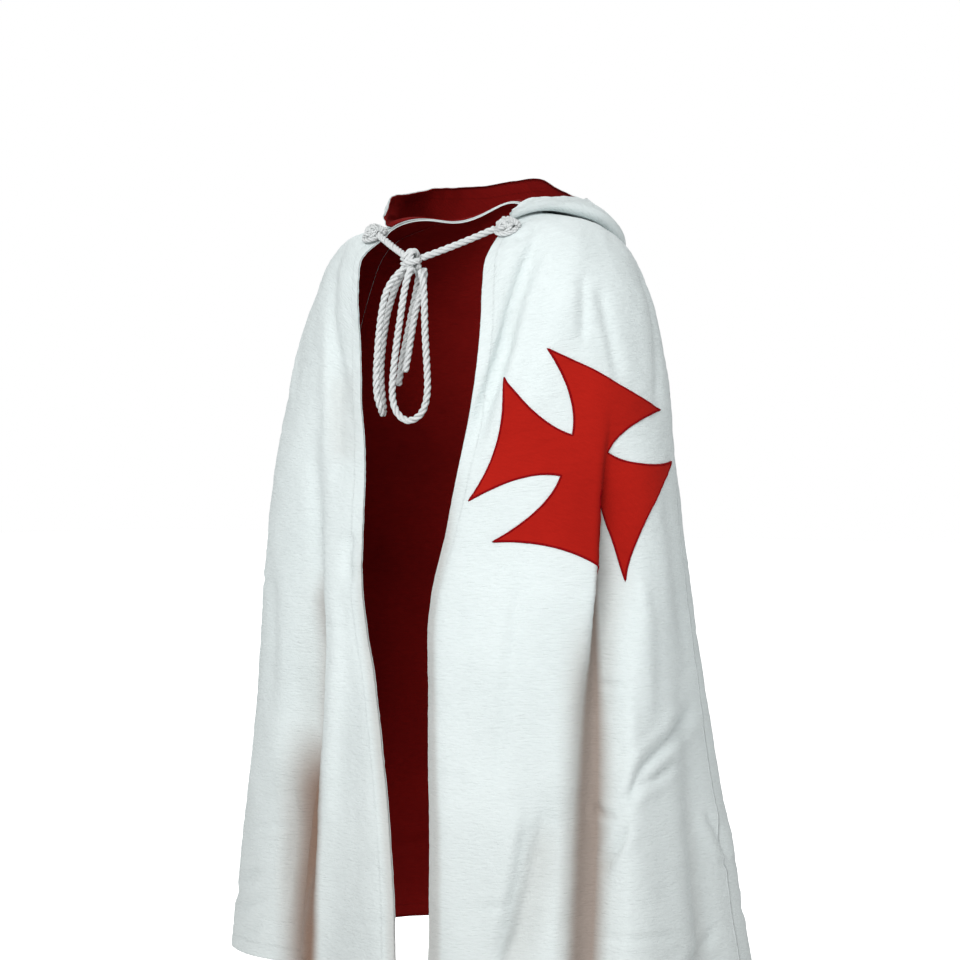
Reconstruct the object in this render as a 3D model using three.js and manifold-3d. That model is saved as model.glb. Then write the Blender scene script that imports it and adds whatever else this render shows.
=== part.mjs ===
// A hooded riding cloak with an applied cross, in the hollow form that it has when it is worn.
// Millimetres, +Z up. The wearer faces -Y and the wearer's left is +X. The origin is the middle of the neck,
// at the height where the cloak lies on the shoulders. Azimuths are in degrees about +Z, from the front (-Y)
// towards the wearer's left (+X). "Down" is the way along the cloth from the neck seam to the hem.
import * as THREE from "three";
import Module from "manifold-3d";

const wasm = await Module();
wasm.setup();

// ---------- Driving sizes ----------
const HEM_DOWN = 1184;
const WALL = 2.4;
const SEAM_GAP = 0.3;
const SIDE_SEAM = 104;
const FRONT_ROLL = { reach: 9, left: 24, right: 10, from: 350, full: 850 };
const CROSS = {
  azimuth: 67.8, down: 465, turn: 18.2, arm: 142.6, waist: 29, tip: 94, flare: 1.75, hollow: 17, thick: 1.2,
};
// How the cloth hangs askew beside the deep fold: the drop and the pull towards the fold, for each millimetre.
const SKEW = { drop: 0.31, dropFrom: 10, dropEase: 20, pull: 0.15, pullFrom: 430, pullEase: 40, pullReach: 60 };
const HOOD = {
  shell: 1.3, lining: 1.2, lift: 4.2, rise: 12, fold: 16, seamLift: 0.8, seamDown: 2, bulge: 4, bulgeShare: 0.1,
};
const ROPE = { radius: 5, sides: 8 };
const KNOT = { at: [-2, -152, -88], size: [17, 15, 18] };
const BUTTON = { radius: 19, height: 20, lift: 0.5 };
const WHITE = { color: 0xe9eeee, roughness: 0.92, metalness: 0 };
const RED = { color: 0x8c1710, roughness: 0.85, metalness: 0 };
const CROSS_RED = { color: 0xb52316, roughness: 0.85, metalness: 0 };
const ROPE_WHITE = { color: 0xf0efea, roughness: 0.88, metalness: 0 };

const table = (names, rows) => rows.map((row) => Object.fromEntries(names.map((name, i) => [name, row[i]])));

// ---------- Worn sections: heights at side, front and back, and the radius at each eighth of a turn ----------
const EIGHTHS = ["front", "leftFront", "left", "leftBack", "back", "rightBack", "right", "rightFront"];
const SECTIONS = table(["down", "zSide", "zFront", "zBack", ...EIGHTHS], [
  [0, -12, -107, 14, 150, 140, 92, 84, 76, 84, 92, 140],
  [35, -18, -119, 6, 160, 152, 128, 112, 98, 112, 133, 152],
  [85, -30, -142, -18, 166, 172, 182, 148, 118, 150, 201, 174],
  [140, -56, -181, -54, 170, 188, 222, 176, 136, 184, 241, 189],
  [210, -112, -223, -112, 174, 204, 256, 198, 152, 212, 274, 201],
  [330, -228, -290, -228, 180, 223, 286, 220, 172, 244, 318, 214],
  [480, -376, -400, -376, 190, 240, 302, 238, 196, 274, 358, 228],
  [640, -536, -540, -536, 204, 258, 318, 256, 220, 298, 377, 240],
  [820, -716, -716, -716, 220, 282, 338, 278, 246, 322, 386, 250],
  [1000, -896, -896, -896, 240, 308, 364, 306, 272, 346, 406, 262],
  [1184, -1080, -1080, -1080, 262, 336, 392, 336, 300, 372, 430, 274],
]);

// Azimuth of each front edge, down the cloth.
const EDGES = table(["down", "left", "right"], [
  [0, 51, -51], [35, 46, -48], [85, 39.5, -43], [140, 38, -36.5], [210, 37.3, -31], [330, 34.5, -27],
  [480, 28, -22.5], [560, 24, -22.5], [640, 18.6, -21], [820, 18.3, -5], [1000, 21, 7], [1184, 22, 13],
]);

// The deep fold under the cross: its line, its depth (outward is positive) and the half widths of its two sides
// in degrees. The near side is steep beside the cross and slopes below it, where the far side is steep.
const DEEP_FOLD = table(["down", "azimuth", "depth", "near", "far"], [
  [340, 75.8, 0, 1.7, 6.8], [380, 75.8, 0, 1.7, 6.8], [480, 74.1, -12.7, 1.77, 7.1],
  [560, 72.8, -28, 1.83, 7.3], [620, 71.9, -37, 2, 7], [700, 71.2, -41, 3.7, 4.4],
  [800, 70, -41, 6.2, 2.6], [920, 67.7, -39, 6.9, 2.2], [1184, 62, -36, 6.3, 2.1],
]);

// Folds that hang to the hem: azimuth where they start and at the hem, where they start and are full, depth
// (outward is positive), and half width in degrees at the start and at the hem.
const HANGING_FOLDS = table(["name", "azStart", "azHem", "start", "full", "depth", "wideStart", "wideHem"], [
  ["behind the cross", 77, 69, 500, 1184, 14, 5, 7],
  ["left front", 54, 44, 780, 1184, -16, 4, 5],
  ["left side", 96, 92, 600, 1184, -24, 6, 6],
  ["left back outer", 112, 112, 420, 1184, 20, 7, 8],
  ["left back hollow", 129, 130, 380, 1184, -28, 7, 7],
  ["left back inner", 147, 149, 420, 1184, 20, 7, 8],
  ["middle back hollow", 170, 168, 330, 1184, -30, 8, 7],
  ["middle back ridge", 187, 186, 330, 1184, 18, 8, 8],
  ["right back hollow", 205, 206, 400, 1184, -28, 7, 7],
  ["right back ridge", 221, 223, 400, 1184, 20, 8, 8],
  ["right back outer", 239, 241, 420, 1184, -26, 6, 6],
  ["right side", 257, 258, 520, 1184, 14, 7, 7],
  ["right lobe", 286, 287, 560, 1184, 12, 7, 9],
  ["right hollow", 312, 309, 330, 1184, -30, 6, 8],
  ["right front ridge", 331, 327, 640, 1184, 10, 6, 7],
]);

// Drape folds that fade at both ends, from the shoulder to the front edge.
const DRAPE_FOLDS = table(["name", "azStart", "azEnd", "start", "end", "depth", "wideStart", "wideEnd"], [
  ["left shoulder hollow", 66, 31, 60, 470, -12, 5, 4],
  ["left shoulder ridge", 78, 46, 60, 470, 7, 7, 6],
  ["right shoulder hollow", 294, 330, 70, 430, -8, 6, 5],
]);

// Thrown-back hood: rim radius and height, and how far its pouch hangs down the cloak, by azimuth.
const HOOD_RIM = table(["azimuth", "radius", "height", "pouch"], [
  [56, 137, -19, 12], [64, 131, -6, 22], [75, 130, 2, 34], [90, 134, 6, 50], [110, 146, 8, 96],
  [127, 152, 12, 146], [145, 154, 18, 190], [162, 158, 30, 222], [172, 158, 42, 233], [180, 158, 55, 238],
  [198, 158, 56, 222],
  [215, 158, 50, 190], [233, 157, 46, 146], [250, 155, 40, 96], [264, 150, 32, 58], [284, 142, 21, 34],
  [293, 137, 8, 24], [300, 138, -8, 12],
]);

// ---------- Rope routes, from where each stretch leaves its button or the knot ----------
function tautRoute(start, end, sag) {
  const steps = 14;
  return Array.from({ length: steps + 1 }, (_, i) => {
    const run = i / steps;
    const [x, y, z] = start.map((from, axis) => from + (end[axis] - from) * run);
    return [x, y, z - 4 * sag * run * (1 - run)];
  });
}

const ROUTES = {
  tie_left: tautRoute([102, -105.8, -46.8], [13, -146, -82.5], 1),
  tie_right: tautRoute([-105.3, -98.5, -42.1], [-16.2, -145.1, -81.4], 1.15),
  bow_loop_right: [
    [-9.1, -163.9, -99.4], [-16, -170, -108.5], [-24, -174, -120], [-31, -176, -135], [-36, -176, -152],
    [-40, -176, -172], [-43.5, -175.5, -194], [-46, -175, -216], [-48, -174.5, -238], [-49, -173.5, -258],
    [-48.5, -171.5, -276], [-48, -165, -291], [-52, -155.5, -297.5], [-58.5, -146, -292], [-64, -141, -279],
    [-67, -140, -262], [-68, -140, -243], [-67, -140.5, -222], [-64, -141, -200], [-60, -141.5, -178],
    [-54, -142.5, -157], [-46, -144, -138], [-37, -146.5, -122], [-27.5, -149, -110], [-18.5, -151.5, -101],
  ],
  bow_loop_left: [
    [4.5, -165.2, -100.6], [3, -168, -109], [1, -170, -119], [-2, -171, -133], [-5.5, -171, -150],
    [-10, -170, -170], [-15, -169, -192], [-19.5, -168, -214], [-23.5, -167, -236], [-26.5, -166, -257],
    [-27, -165, -276], [-23, -164, -292], [-14, -163, -303], [-2, -162, -308], [11, -161, -305],
    [21.5, -160, -296], [27.5, -159, -281], [29, -158, -262], [28, -157.5, -241], [26, -157, -219],
    [24, -156.5, -197], [22.5, -156, -175], [21.5, -155.5, -153], [20.5, -155, -134], [18.5, -154.8, -118],
    [14.5, -154.5, -104],
  ],
  free_end_right: [
    [-2.6, -136.9, -101.2], [-4.6, -135.8, -110], [-7, -135.2, -119], [-9.4, -135, -129], [-12, -135, -139],
    [-14.4, -135.3, -149], [-16.8, -136, -159.5], [-19, -136.6, -170], [-21.3, -137.1, -181],
    [-23.5, -137.9, -192], [-25.8, -138.7, -203], [-28, -139.6, -214], [-30.3, -140.4, -226],
    [-32.8, -141.1, -242], [-35.5, -142, -259],
  ],
  free_end_left: [
    [10.3, -141.9, -101], [10.3, -141.7, -109], [9, -142.5, -118], [7.2, -144, -127], [5.2, -145.6, -136],
    [3.2, -147, -145], [1.4, -148.4, -154], [-0.4, -149.3, -163], [-2.3, -149.8, -173], [-4.2, -150.2, -183],
    [-6.2, -150.6, -194], [-8.3, -150.9, -206], [-10.6, -151.2, -218], [-12.8, -151.6, -229], [-15, -152, -241],
  ],
};

// ---------- Small tools ----------
const degrees = THREE.MathUtils.degToRad;
const clamp = (x, low, high) => Math.min(Math.max(x, low), high);
const smooth = (x) => clamp(x, 0, 1) ** 2 * (3 - 2 * clamp(x, 0, 1));
const mix = (a, b, share) => a + (b - a) * share;
const turnBetween = (a, b) => ((((a - b + 180) % 360) + 360) % 360) - 180;

// The smooth curve through one column of a table, against its first column.
function along(rows, key, name, x) {
  const last = rows.length - 1;
  const slope = (i) => {
    if (i === 0) return (rows[1][name] - rows[0][name]) / (rows[1][key] - rows[0][key]);
    if (i === last) return (rows[i][name] - rows[i - 1][name]) / (rows[i][key] - rows[i - 1][key]);
    const before = rows[i][key] - rows[i - 1][key];
    const after = rows[i + 1][key] - rows[i][key];
    const rise = (rows[i + 1][name] - rows[i][name]) / after;
    const come = (rows[i][name] - rows[i - 1][name]) / before;
    return (before * rise + after * come) / (before + after);
  };
  let i = 0;
  while (i < last - 1 && x >= rows[i + 1][key]) i += 1;
  const span = rows[i + 1][key] - rows[i][key];
  const t = clamp((x - rows[i][key]) / span, 0, 1);
  const [a, b] = [rows[i][name], rows[i + 1][name]];
  const bend = (1 - t) ** 2 * t * span * slope(i) + t * t * (t - 1) * span * slope(i + 1);
  return (1 + 2 * t) * (1 - t) ** 2 * a + t * t * (3 - 2 * t) * b + bend;
}

// ---------- The worn cloth ----------
// Radius through the eight compass radii: the sum of waves that meets all of them.
function ringRadius(down, azimuth) {
  const radii = EIGHTHS.map((name) => along(SECTIONS, "down", name, down));
  let radius = 0;
  for (let wave = 0; wave <= 4; wave += 1) {
    const weight = wave === 0 || wave === 4 ? 1 / 8 : 2 / 8;
    radii.forEach((r, i) => {
      radius += weight * r * Math.cos(degrees(wave * (azimuth - 45 * i)));
    });
  }
  return radius;
}

function foldDepth(down, azimuth) {
  const deep = (name) => along(DEEP_FOLD, "down", name, down);
  const past = turnBetween(azimuth, deep("azimuth"));
  let depth = deep("depth") * Math.exp(-((past / deep(past > 0 ? "far" : "near")) ** 2));
  for (const fold of HANGING_FOLDS) {
    const run = clamp((down - fold.start) / (HEM_DOWN - fold.start), 0, 1);
    const away = turnBetween(azimuth, mix(fold.azStart, fold.azHem, run));
    const grown = smooth((down - fold.start) / (fold.full - fold.start)) ** 0.8;
    depth += fold.depth * grown * Math.exp(-((away / mix(fold.wideStart, fold.wideHem, run)) ** 2));
  }
  for (const fold of DRAPE_FOLDS) {
    const run = clamp((down - fold.start) / (fold.end - fold.start), 0, 1);
    const away = turnBetween(azimuth, mix(fold.azStart, fold.azEnd, run));
    const shown = Math.sin(Math.PI * run);
    depth += fold.depth * shown * Math.exp(-((away / mix(fold.wideStart, fold.wideEnd, run)) ** 2));
  }
  return depth;
}

// How far the cloth turns in beside each front edge.
function frontRoll(down, azimuth) {
  const grown = smooth((down - FRONT_ROLL.from) / (FRONT_ROLL.full - FRONT_ROLL.from));
  const near = (edge) => {
    const away = Math.abs(turnBetween(azimuth, along(EDGES, "down", edge, down)));
    return clamp(1 - away / FRONT_ROLL.reach, 0, 1) ** 2;
  };
  return grown * (FRONT_ROLL.left * near("left") + FRONT_ROLL.right * near("right"));
}

function clothPoint(down, azimuth) {
  const radius = ringRadius(down, azimuth) + foldDepth(down, azimuth) - frontRoll(down, azimuth);
  const sine = Math.sin(degrees(azimuth));
  const cosine = Math.cos(degrees(azimuth));
  const height = (name) => along(SECTIONS, "down", name, down);
  const ends = (height("zFront") * (1 + cosine) + height("zBack") * (1 - cosine)) / 2;
  return new THREE.Vector3(radius * sine, -radius * cosine, height("zSide") * sine ** 2 + ends * cosine ** 2);
}

function clothNormal(down, azimuth) {
  const step = 2;
  const turn = 0.6;
  const lower = clothPoint(Math.min(down + step, HEM_DOWN), azimuth);
  const fall = lower.sub(clothPoint(Math.max(down - step, 0), azimuth));
  const round = clothPoint(down, azimuth + turn).sub(clothPoint(down, azimuth - turn));
  return fall.cross(round).normalize();
}

// ---------- Solids ----------
function geometryFrom(points, triangles) {
  const geometry = new THREE.BufferGeometry();
  const places = points.flatMap((p) => [p.x, p.y, p.z]);
  geometry.setAttribute("position", new THREE.Float32BufferAttribute(places, 3));
  geometry.setIndex(triangles.flat());
  return geometry;
}

// A wall between two grids of points, closed all round. Rows run down, columns run left as seen from outside.
function wallGeometry(outside, inside) {
  const rows = outside.length;
  const columns = outside[0].length;
  const skin = rows * columns;
  const at = (i, j) => i * columns + j;
  const triangles = [];
  for (let i = 0; i < rows - 1; i += 1) {
    for (let j = 0; j < columns - 1; j += 1) {
      const [a, b, c, d] = [at(i, j), at(i + 1, j), at(i + 1, j + 1), at(i, j + 1)];
      triangles.push([a, b, c], [a, c, d]);
      triangles.push([skin + a, skin + c, skin + b], [skin + a, skin + d, skin + c]);
    }
  }
  const border = [];
  for (let i = 0; i < rows - 1; i += 1) {
    border.push([at(i, 0), at(i + 1, 0)], [at(i + 1, columns - 1), at(i, columns - 1)]);
  }
  for (let j = 0; j < columns - 1; j += 1) {
    border.push([at(rows - 1, j), at(rows - 1, j + 1)], [at(0, j + 1), at(0, j)]);
  }
  for (const [from, to] of border) {
    triangles.push([to, from, skin + from], [to, skin + from, skin + to]);
  }
  return geometryFrom([...outside.flat(), ...inside.flat()], triangles);
}

const moved = (point, normal, distance) => point.clone().addScaledVector(normal, distance);

// Rows are closer together over the shoulders, where the cloth bends most.
const ROWS = [
  0, 10, 22, 36, 52, 70, 90, 112, 138, 168, 204, 248, 300, 360, 430, 510, 600, 700, 810, 930, 1060, HEM_DOWN,
];

// Places across the deep fold at which the left front has a column: before its line in half widths of the near
// side, past it in half widths of the far side.
const DEEP_FOLD_COLUMNS = [-2.6, -2.1, -1.65, -1.25, -0.85, -0.4, 0, 0.4, 0.8, 1.2, 1.65, 2.2];

// Azimuths spread evenly from the first to just before the last.
const spread = (from, to, count) => Array.from({ length: count }, (_, i) => mix(from, to, i / count));

// The outer skin of a panel, as points and the cloth's normals there, at the azimuths given for each row.
const panelSkin = (azimuthsAt) => ROWS.map((down) => azimuthsAt(down).map((azimuth) => (
  { point: clothPoint(down, azimuth), normal: clothNormal(down, azimuth) }
)));

const skinMoved = (skin, distance) => skin.map((row) => row.map((p) => moved(p.point, p.normal, distance)));

// Half the seam's gap, as an angle at a given ring.
const seamTurn = (down, azimuth) => THREE.MathUtils.radToDeg((SEAM_GAP / 2 + 0.02) / ringRadius(down, azimuth));

const leftSeamFront = (down) => SIDE_SEAM - seamTurn(down, SIDE_SEAM);
const leftSeamBack = (down) => SIDE_SEAM + seamTurn(down, SIDE_SEAM);
const rightSeamBack = (down) => 360 - SIDE_SEAM - seamTurn(down, -SIDE_SEAM);
const rightSeamFront = (down) => seamTurn(down, -SIDE_SEAM) - SIDE_SEAM;
const leftEdge = (down) => along(EDGES, "down", "left", down);
const rightEdge = (down) => along(EDGES, "down", "right", down);

// The azimuths of the deep fold's columns.
function deepFold(down) {
  const deep = (name) => along(DEEP_FOLD, "down", name, down);
  return DEEP_FOLD_COLUMNS.map((place) => deep("azimuth") + place * deep(place > 0 ? "far" : "near"));
}

// The line of the right front's deepest hollow, which runs straight up from where it starts.
function rightHollow(down) {
  const fold = HANGING_FOLDS.find((row) => row.name === "right hollow");
  return mix(fold.azStart, fold.azHem, clamp((down - fold.start) / (HEM_DOWN - fold.start), 0, 1));
}

const SKINS = {
  front_left_panel: panelSkin((down) => {
    const inFold = deepFold(down);
    const afterFold = spread(leftSeamFront(down), inFold[inFold.length - 1], 9).reverse();
    return [...spread(leftEdge(down), inFold[0], 10), ...inFold, ...afterFold];
  }),
  back_panel: panelSkin((down) => {
    const end = rightSeamBack(down);
    return [...spread(leftSeamBack(down), end, 40), end];
  }),
  front_right_panel: panelSkin((down) => {
    const middle = rightHollow(down) - 360;
    const end = rightEdge(down);
    return [...spread(rightSeamFront(down), middle, 15), ...spread(middle, end, 15), end];
  }),
};

const panelGeometry = (name) => wallGeometry(skinMoved(SKINS[name], 0), skinMoved(SKINS[name], -WALL));

// ---------- The cross, cut from a slab that follows the left front's own points ----------
// Its outline in the flat: four arms with concave sides that flare to a straight end.
function crossOutline() {
  const steps = 7;
  const side = Array.from({ length: steps + 1 }, (_, i) => {
    const run = i / steps;
    return [CROSS.waist + (CROSS.tip - CROSS.waist) * run ** CROSS.flare, mix(CROSS.waist, CROSS.arm, run)];
  });
  const hollowAt = (x) => CROSS.hollow * (1 - (x / CROSS.tip) ** 2);
  const end = spread(CROSS.tip, -CROSS.tip, 10).slice(1).map((x) => [x, CROSS.arm - hollowAt(x)]);
  const arm = [...side, ...end, ...side.slice(1).reverse().map(([x, y]) => [-x, y])];
  return [0, 90, 180, 270].flatMap((quarter) => {
    const angle = degrees(quarter - CROSS.turn);
    return arm.map(([x, y]) => [
      x * Math.cos(angle) - y * Math.sin(angle),
      x * Math.sin(angle) + y * Math.cos(angle),
    ]);
  });
}

// Zero before a place and rising by one for each millimetre past it, eased over a length.
const easedPast = (x, ease) => (x + Math.hypot(x, ease)) / 2;

// Where a flat place of the cross lies on the hanging cloth.
function crossPlace(x, y) {
  const past = x - SKEW.dropFrom;
  const down = CROSS.down - y + SKEW.drop * easedPast(past, SKEW.dropEase);
  const pull = SKEW.pull * easedPast(CROSS.down - y - SKEW.pullFrom, SKEW.pullEase);
  const azimuth = azimuthAfter(down, x - pull * smooth(past / SKEW.pullReach));
  return clothPoint(down, azimuth);
}

// The azimuth reached by walking a length of cloth round from the cross's middle.
function azimuthAfter(down, length) {
  const steps = 60;
  let azimuth = CROSS.azimuth;
  for (let i = 0; i < steps; i += 1) {
    const halfDegree = clothPoint(down, azimuth + 0.25).distanceTo(clothPoint(down, azimuth - 0.25));
    azimuth += length / steps / (2 * halfDegree);
  }
  return azimuth;
}

function manifoldOf(geometry) {
  const positions = geometry.getAttribute("position").array;
  const mesh = new wasm.Mesh({
    numProp: 3,
    vertProperties: Float32Array.from(positions),
    triVerts: Uint32Array.from(geometry.getIndex().array),
  });
  return new wasm.Manifold(mesh);
}

function geometryOf(solid) {
  const mesh = solid.getMesh();
  const geometry = new THREE.BufferGeometry();
  geometry.setAttribute("position", new THREE.Float32BufferAttribute(mesh.vertProperties, 3));
  geometry.setIndex(Array.from(mesh.triVerts));
  return geometry;
}

// The slab is cut by a straight prism through the cross, along the ray of its middle.
function crossGeometry() {
  const skin = SKINS.front_left_panel;
  const slab = wallGeometry(skinMoved(skin, SEAM_GAP + CROSS.thick), skinMoved(skin, SEAM_GAP));
  const cutterReach = 110;
  const ray = new THREE.Vector3(Math.sin(degrees(CROSS.azimuth)), -Math.cos(degrees(CROSS.azimuth)), 0);
  const aside = new THREE.Vector3(-ray.y, ray.x, 0);
  const outline = crossOutline().map(([x, y]) => crossPlace(x, y));
  const middle = crossPlace(0, 0).dot(ray);
  const at = (point, along) => moved(point, ray, middle + along - point.dot(ray));
  const faces = THREE.ShapeUtils.triangulateShape(outline.map((p) => new THREE.Vector2(p.dot(aside), p.z)), []);
  const top = outline.map((p) => at(p, cutterReach));
  const bottom = outline.map((p) => at(p, -cutterReach));
  const count = outline.length;
  const triangles = faces.flatMap(([a, b, c]) => [[a, b, c], [count + a, count + c, count + b]]);
  for (let i = 0; i < count; i += 1) {
    const next = (i + 1) % count;
    triangles.push([next, i, count + i], [next, count + i, count + next]);
  }
  const cutter = geometryFrom([...top, ...bottom], triangles);
  return geometryOf(manifoldOf(slab).intersect(manifoldOf(cutter)));
}

// ---------- The hood: out of the neck seam, down the back as a pouch, and up to its rim ----------
function hoodSection(azimuth) {
  const rim = (name) => along(HOOD_RIM, "azimuth", name, azimuth);
  const pouch = rim("pouch");
  const raised = (down, lift) => moved(clothPoint(down, azimuth), clothNormal(down, azimuth), lift);
  const points = [];
  for (const share of [0, 0.07, 0.15, 0.26, 0.44, 0.7, 1]) {
    const down = mix(HOOD.seamDown, pouch, share);
    points.push(raised(down, mix(HOOD.seamLift, HOOD.lift, smooth((down - HOOD.seamDown) / HOOD.rise))));
  }
  const fold = HOOD.fold * (0.55 + 0.45 * smooth(pouch / 70));
  points.push(raised(pouch + fold * 0.42, HOOD.lift + fold * 0.2));
  points.push(raised(pouch + fold * 0.5, HOOD.lift + fold * 0.6));
  const start = raised(pouch + fold * 0.2, HOOD.lift + fold);
  const radius = rim("radius");
  const direction = new THREE.Vector3(Math.sin(degrees(azimuth)), -Math.cos(degrees(azimuth)), 0);
  const end = direction.clone().multiplyScalar(radius).setZ(rim("height"));
  const fromStart = radius - Math.hypot(start.x, start.y);
  const climb = end.z - start.z;
  const chord = Math.hypot(fromStart, climb);
  const bulge = HOOD.bulge + HOOD.bulgeShare * chord;
  const belly = start.clone().lerp(end, 0.5).addScaledVector(direction, (climb / chord) * bulge);
  belly.z -= (fromStart / chord) * bulge;
  const curve = new THREE.QuadraticBezierCurve3(start, belly, end);
  for (const share of [0, 0.2, 0.42, 0.64, 0.84, 1]) points.push(curve.getPoint(share));
  return points;
}

function hoodSkin() {
  const columns = 30;
  const [first, last] = [HOOD_RIM[0].azimuth, HOOD_RIM[HOOD_RIM.length - 1].azimuth];
  const sections = Array.from({ length: columns + 1 }, (_, j) => hoodSection(mix(first, last, j / columns)));
  const rows = sections[0].length;
  const point = (i, j) => sections[clamp(j, 0, columns)][clamp(i, 0, rows - 1)];
  return sections[0].map((_, i) => sections.map((__, j) => {
    const fall = point(i + 1, j).clone().sub(point(i - 1, j));
    const round = point(i, j + 1).clone().sub(point(i, j - 1));
    return { point: point(i, j), normal: fall.cross(round).normalize() };
  }));
}

const hoodWall = (skin, near, far) => wallGeometry(skinMoved(skin, far), skinMoved(skin, near));

// ---------- Rope, knot and buttons ----------
function ropeGeometry(route) {
  const path = new THREE.CatmullRomCurve3(route.map(([x, y, z]) => new THREE.Vector3(x, y, z)));
  const section = new THREE.Shape(Array.from({ length: ROPE.sides }, (_, i) => {
    const angle = (i / ROPE.sides) * 2 * Math.PI;
    return new THREE.Vector2(ROPE.radius * Math.cos(angle), ROPE.radius * Math.sin(angle));
  }));
  const steps = Math.max(6, Math.round(path.getLength() / (ROPE.radius * 5)));
  return new THREE.ExtrudeGeometry(section, { steps, extrudePath: path, bevelEnabled: false });
}

function buttonGeometry() {
  const { radius, height } = BUTTON;
  const profile = [[0, 0], [radius * 0.7, 0], [radius, height * 0.28], [radius, height * 0.52],
    [radius * 0.78, height * 0.84], [radius * 0.4, height], [0, height]];
  const geometry = new THREE.LatheGeometry(profile.map(([x, y]) => new THREE.Vector2(x, y)), 20);
  return geometry.rotateX(Math.PI / 2);
}

function placeButton(mesh, down, azimuth) {
  const normal = clothNormal(down, azimuth);
  mesh.position.copy(moved(clothPoint(down, azimuth), normal, BUTTON.lift));
  mesh.quaternion.setFromUnitVectors(new THREE.Vector3(0, 0, 1), normal);
}

// ---------- Assembly ----------
const cloak = new THREE.Group();

function add(name, geometry, finish) {
  const mesh = new THREE.Mesh(geometry, new THREE.MeshStandardMaterial(finish));
  mesh.name = name;
  cloak.add(mesh);
  return mesh;
}

for (const name of Object.keys(SKINS)) add(name, panelGeometry(name), WHITE);
add("cross_applique", crossGeometry(), CROSS_RED);

const hood = hoodSkin();
add("hood_shell", hoodWall(hood, 0, HOOD.shell), WHITE);
add("hood_lining", hoodWall(hood, HOOD.shell + SEAM_GAP, HOOD.shell + SEAM_GAP + HOOD.lining), RED);

placeButton(add("rope_button_left", buttonGeometry(), ROPE_WHITE), 38, 52);
placeButton(add("rope_button_right", buttonGeometry(), ROPE_WHITE), 36, -55);

const knot = add("tie_knot", new THREE.SphereGeometry(1, 14, 9), ROPE_WHITE);
knot.position.set(...KNOT.at);
knot.scale.set(...KNOT.size);

for (const [name, route] of Object.entries(ROUTES)) add(name, ropeGeometry(route), ROPE_WHITE);

export default cloak;
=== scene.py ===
"""Looks of a hooded riding cloak with an applied cross, worn and tied at the neck.

Everything is in metres in the row frame: +Z up, the wearer faces -Y, the wearer's left is +X and the origin
is the middle of the neck. Tables are in millimetres and degrees, as the cutter's own sizes. Azimuths run
about +Z from the front towards the wearer's left. "Down" is the way along the cloth from neck seam to hem.
"""

import logging
import math
from dataclasses import dataclass
from enum import Enum
from typing import Callable, Optional, Sequence, Union

import bpy
import numpy as np
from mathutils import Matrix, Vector


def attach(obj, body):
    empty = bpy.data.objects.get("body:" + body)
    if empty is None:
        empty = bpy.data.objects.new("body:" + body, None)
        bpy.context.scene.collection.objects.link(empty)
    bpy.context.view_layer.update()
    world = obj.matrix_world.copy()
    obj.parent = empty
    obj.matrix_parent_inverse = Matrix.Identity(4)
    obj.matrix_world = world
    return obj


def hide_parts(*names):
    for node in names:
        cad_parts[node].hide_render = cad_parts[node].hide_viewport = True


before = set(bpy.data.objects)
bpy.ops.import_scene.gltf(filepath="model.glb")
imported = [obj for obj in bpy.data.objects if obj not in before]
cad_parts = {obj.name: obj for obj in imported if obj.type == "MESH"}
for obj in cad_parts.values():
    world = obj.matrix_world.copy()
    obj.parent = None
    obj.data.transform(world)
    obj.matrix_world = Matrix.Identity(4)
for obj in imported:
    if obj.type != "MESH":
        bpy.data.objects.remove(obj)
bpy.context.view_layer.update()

LOG = logging.getLogger("cloak")
MM = 0.001
BODY = "root"
HEM_DOWN = 1184.0
SIDE_SEAM = 104.0
SEAM_GAP = 0.3
FAR_FROM_HEM = 9.0


# ---------- Small tools ----------
def smooth(x: np.ndarray) -> np.ndarray:
    """Ease from 0 to 1."""
    t = np.clip(x, 0.0, 1.0)
    return t * t * (3.0 - 2.0 * t)


def mix(a, b, share):
    """Straight line from a to b."""
    return a + (b - a) * share


def turn_between(a: np.ndarray, b: np.ndarray) -> np.ndarray:
    """Signed turn from b to a, in degrees within half a turn."""
    return (a - b + 180.0) % 360.0 - 180.0


def unit(v: np.ndarray) -> np.ndarray:
    """Vectors scaled to length one."""
    return v / np.maximum(np.linalg.norm(v, axis=-1, keepdims=True), 1e-12)


class Table:
    """Rows of numbers under named columns, read as smooth curves against one column."""

    def __init__(self, names: Sequence[str], rows: Sequence[Sequence[float]]) -> None:
        """Keep each column as an array.

        Args:
            names: the columns' names.
            rows: the rows, in the order of the first column.
        """
        data = np.array(rows, float)
        self.names = list(names)
        self.columns = {name: data[:, i] for i, name in enumerate(names)}

    def rows(self) -> list[dict[str, float]]:
        """Each row as a dict."""
        count = len(self.columns[self.names[0]])
        return [{name: float(self.columns[name][i]) for name in self.names} for i in range(count)]

    def along(self, key: str, name: str, x: np.ndarray) -> np.ndarray:
        """Cubic curve through one column.

        Args:
            key: the column that x is in.
            name: the column that is read.
            x: where to read it.

        Returns:
            The column's value at x, held at the ends.
        """
        xs, ys = self.columns[key], self.columns[name]
        steps = np.diff(xs)
        rises = np.diff(ys) / steps
        slopes = np.concatenate([[rises[0]], (steps[:-1] * rises[1:] + steps[1:] * rises[:-1])
                                 / (steps[:-1] + steps[1:]), [rises[-1]]])
        x = np.clip(np.asarray(x, float), xs[0], xs[-1])
        i = np.clip(np.searchsorted(xs, x, side="right") - 1, 0, len(steps) - 1)
        span = steps[i]
        t = (x - xs[i]) / span
        bend = (1 - t) ** 2 * t * span * slopes[i] + t * t * (t - 1) * span * slopes[i + 1]
        return (1 + 2 * t) * (1 - t) ** 2 * ys[i] + t * t * (3 - 2 * t) * ys[i + 1] + bend


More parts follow.
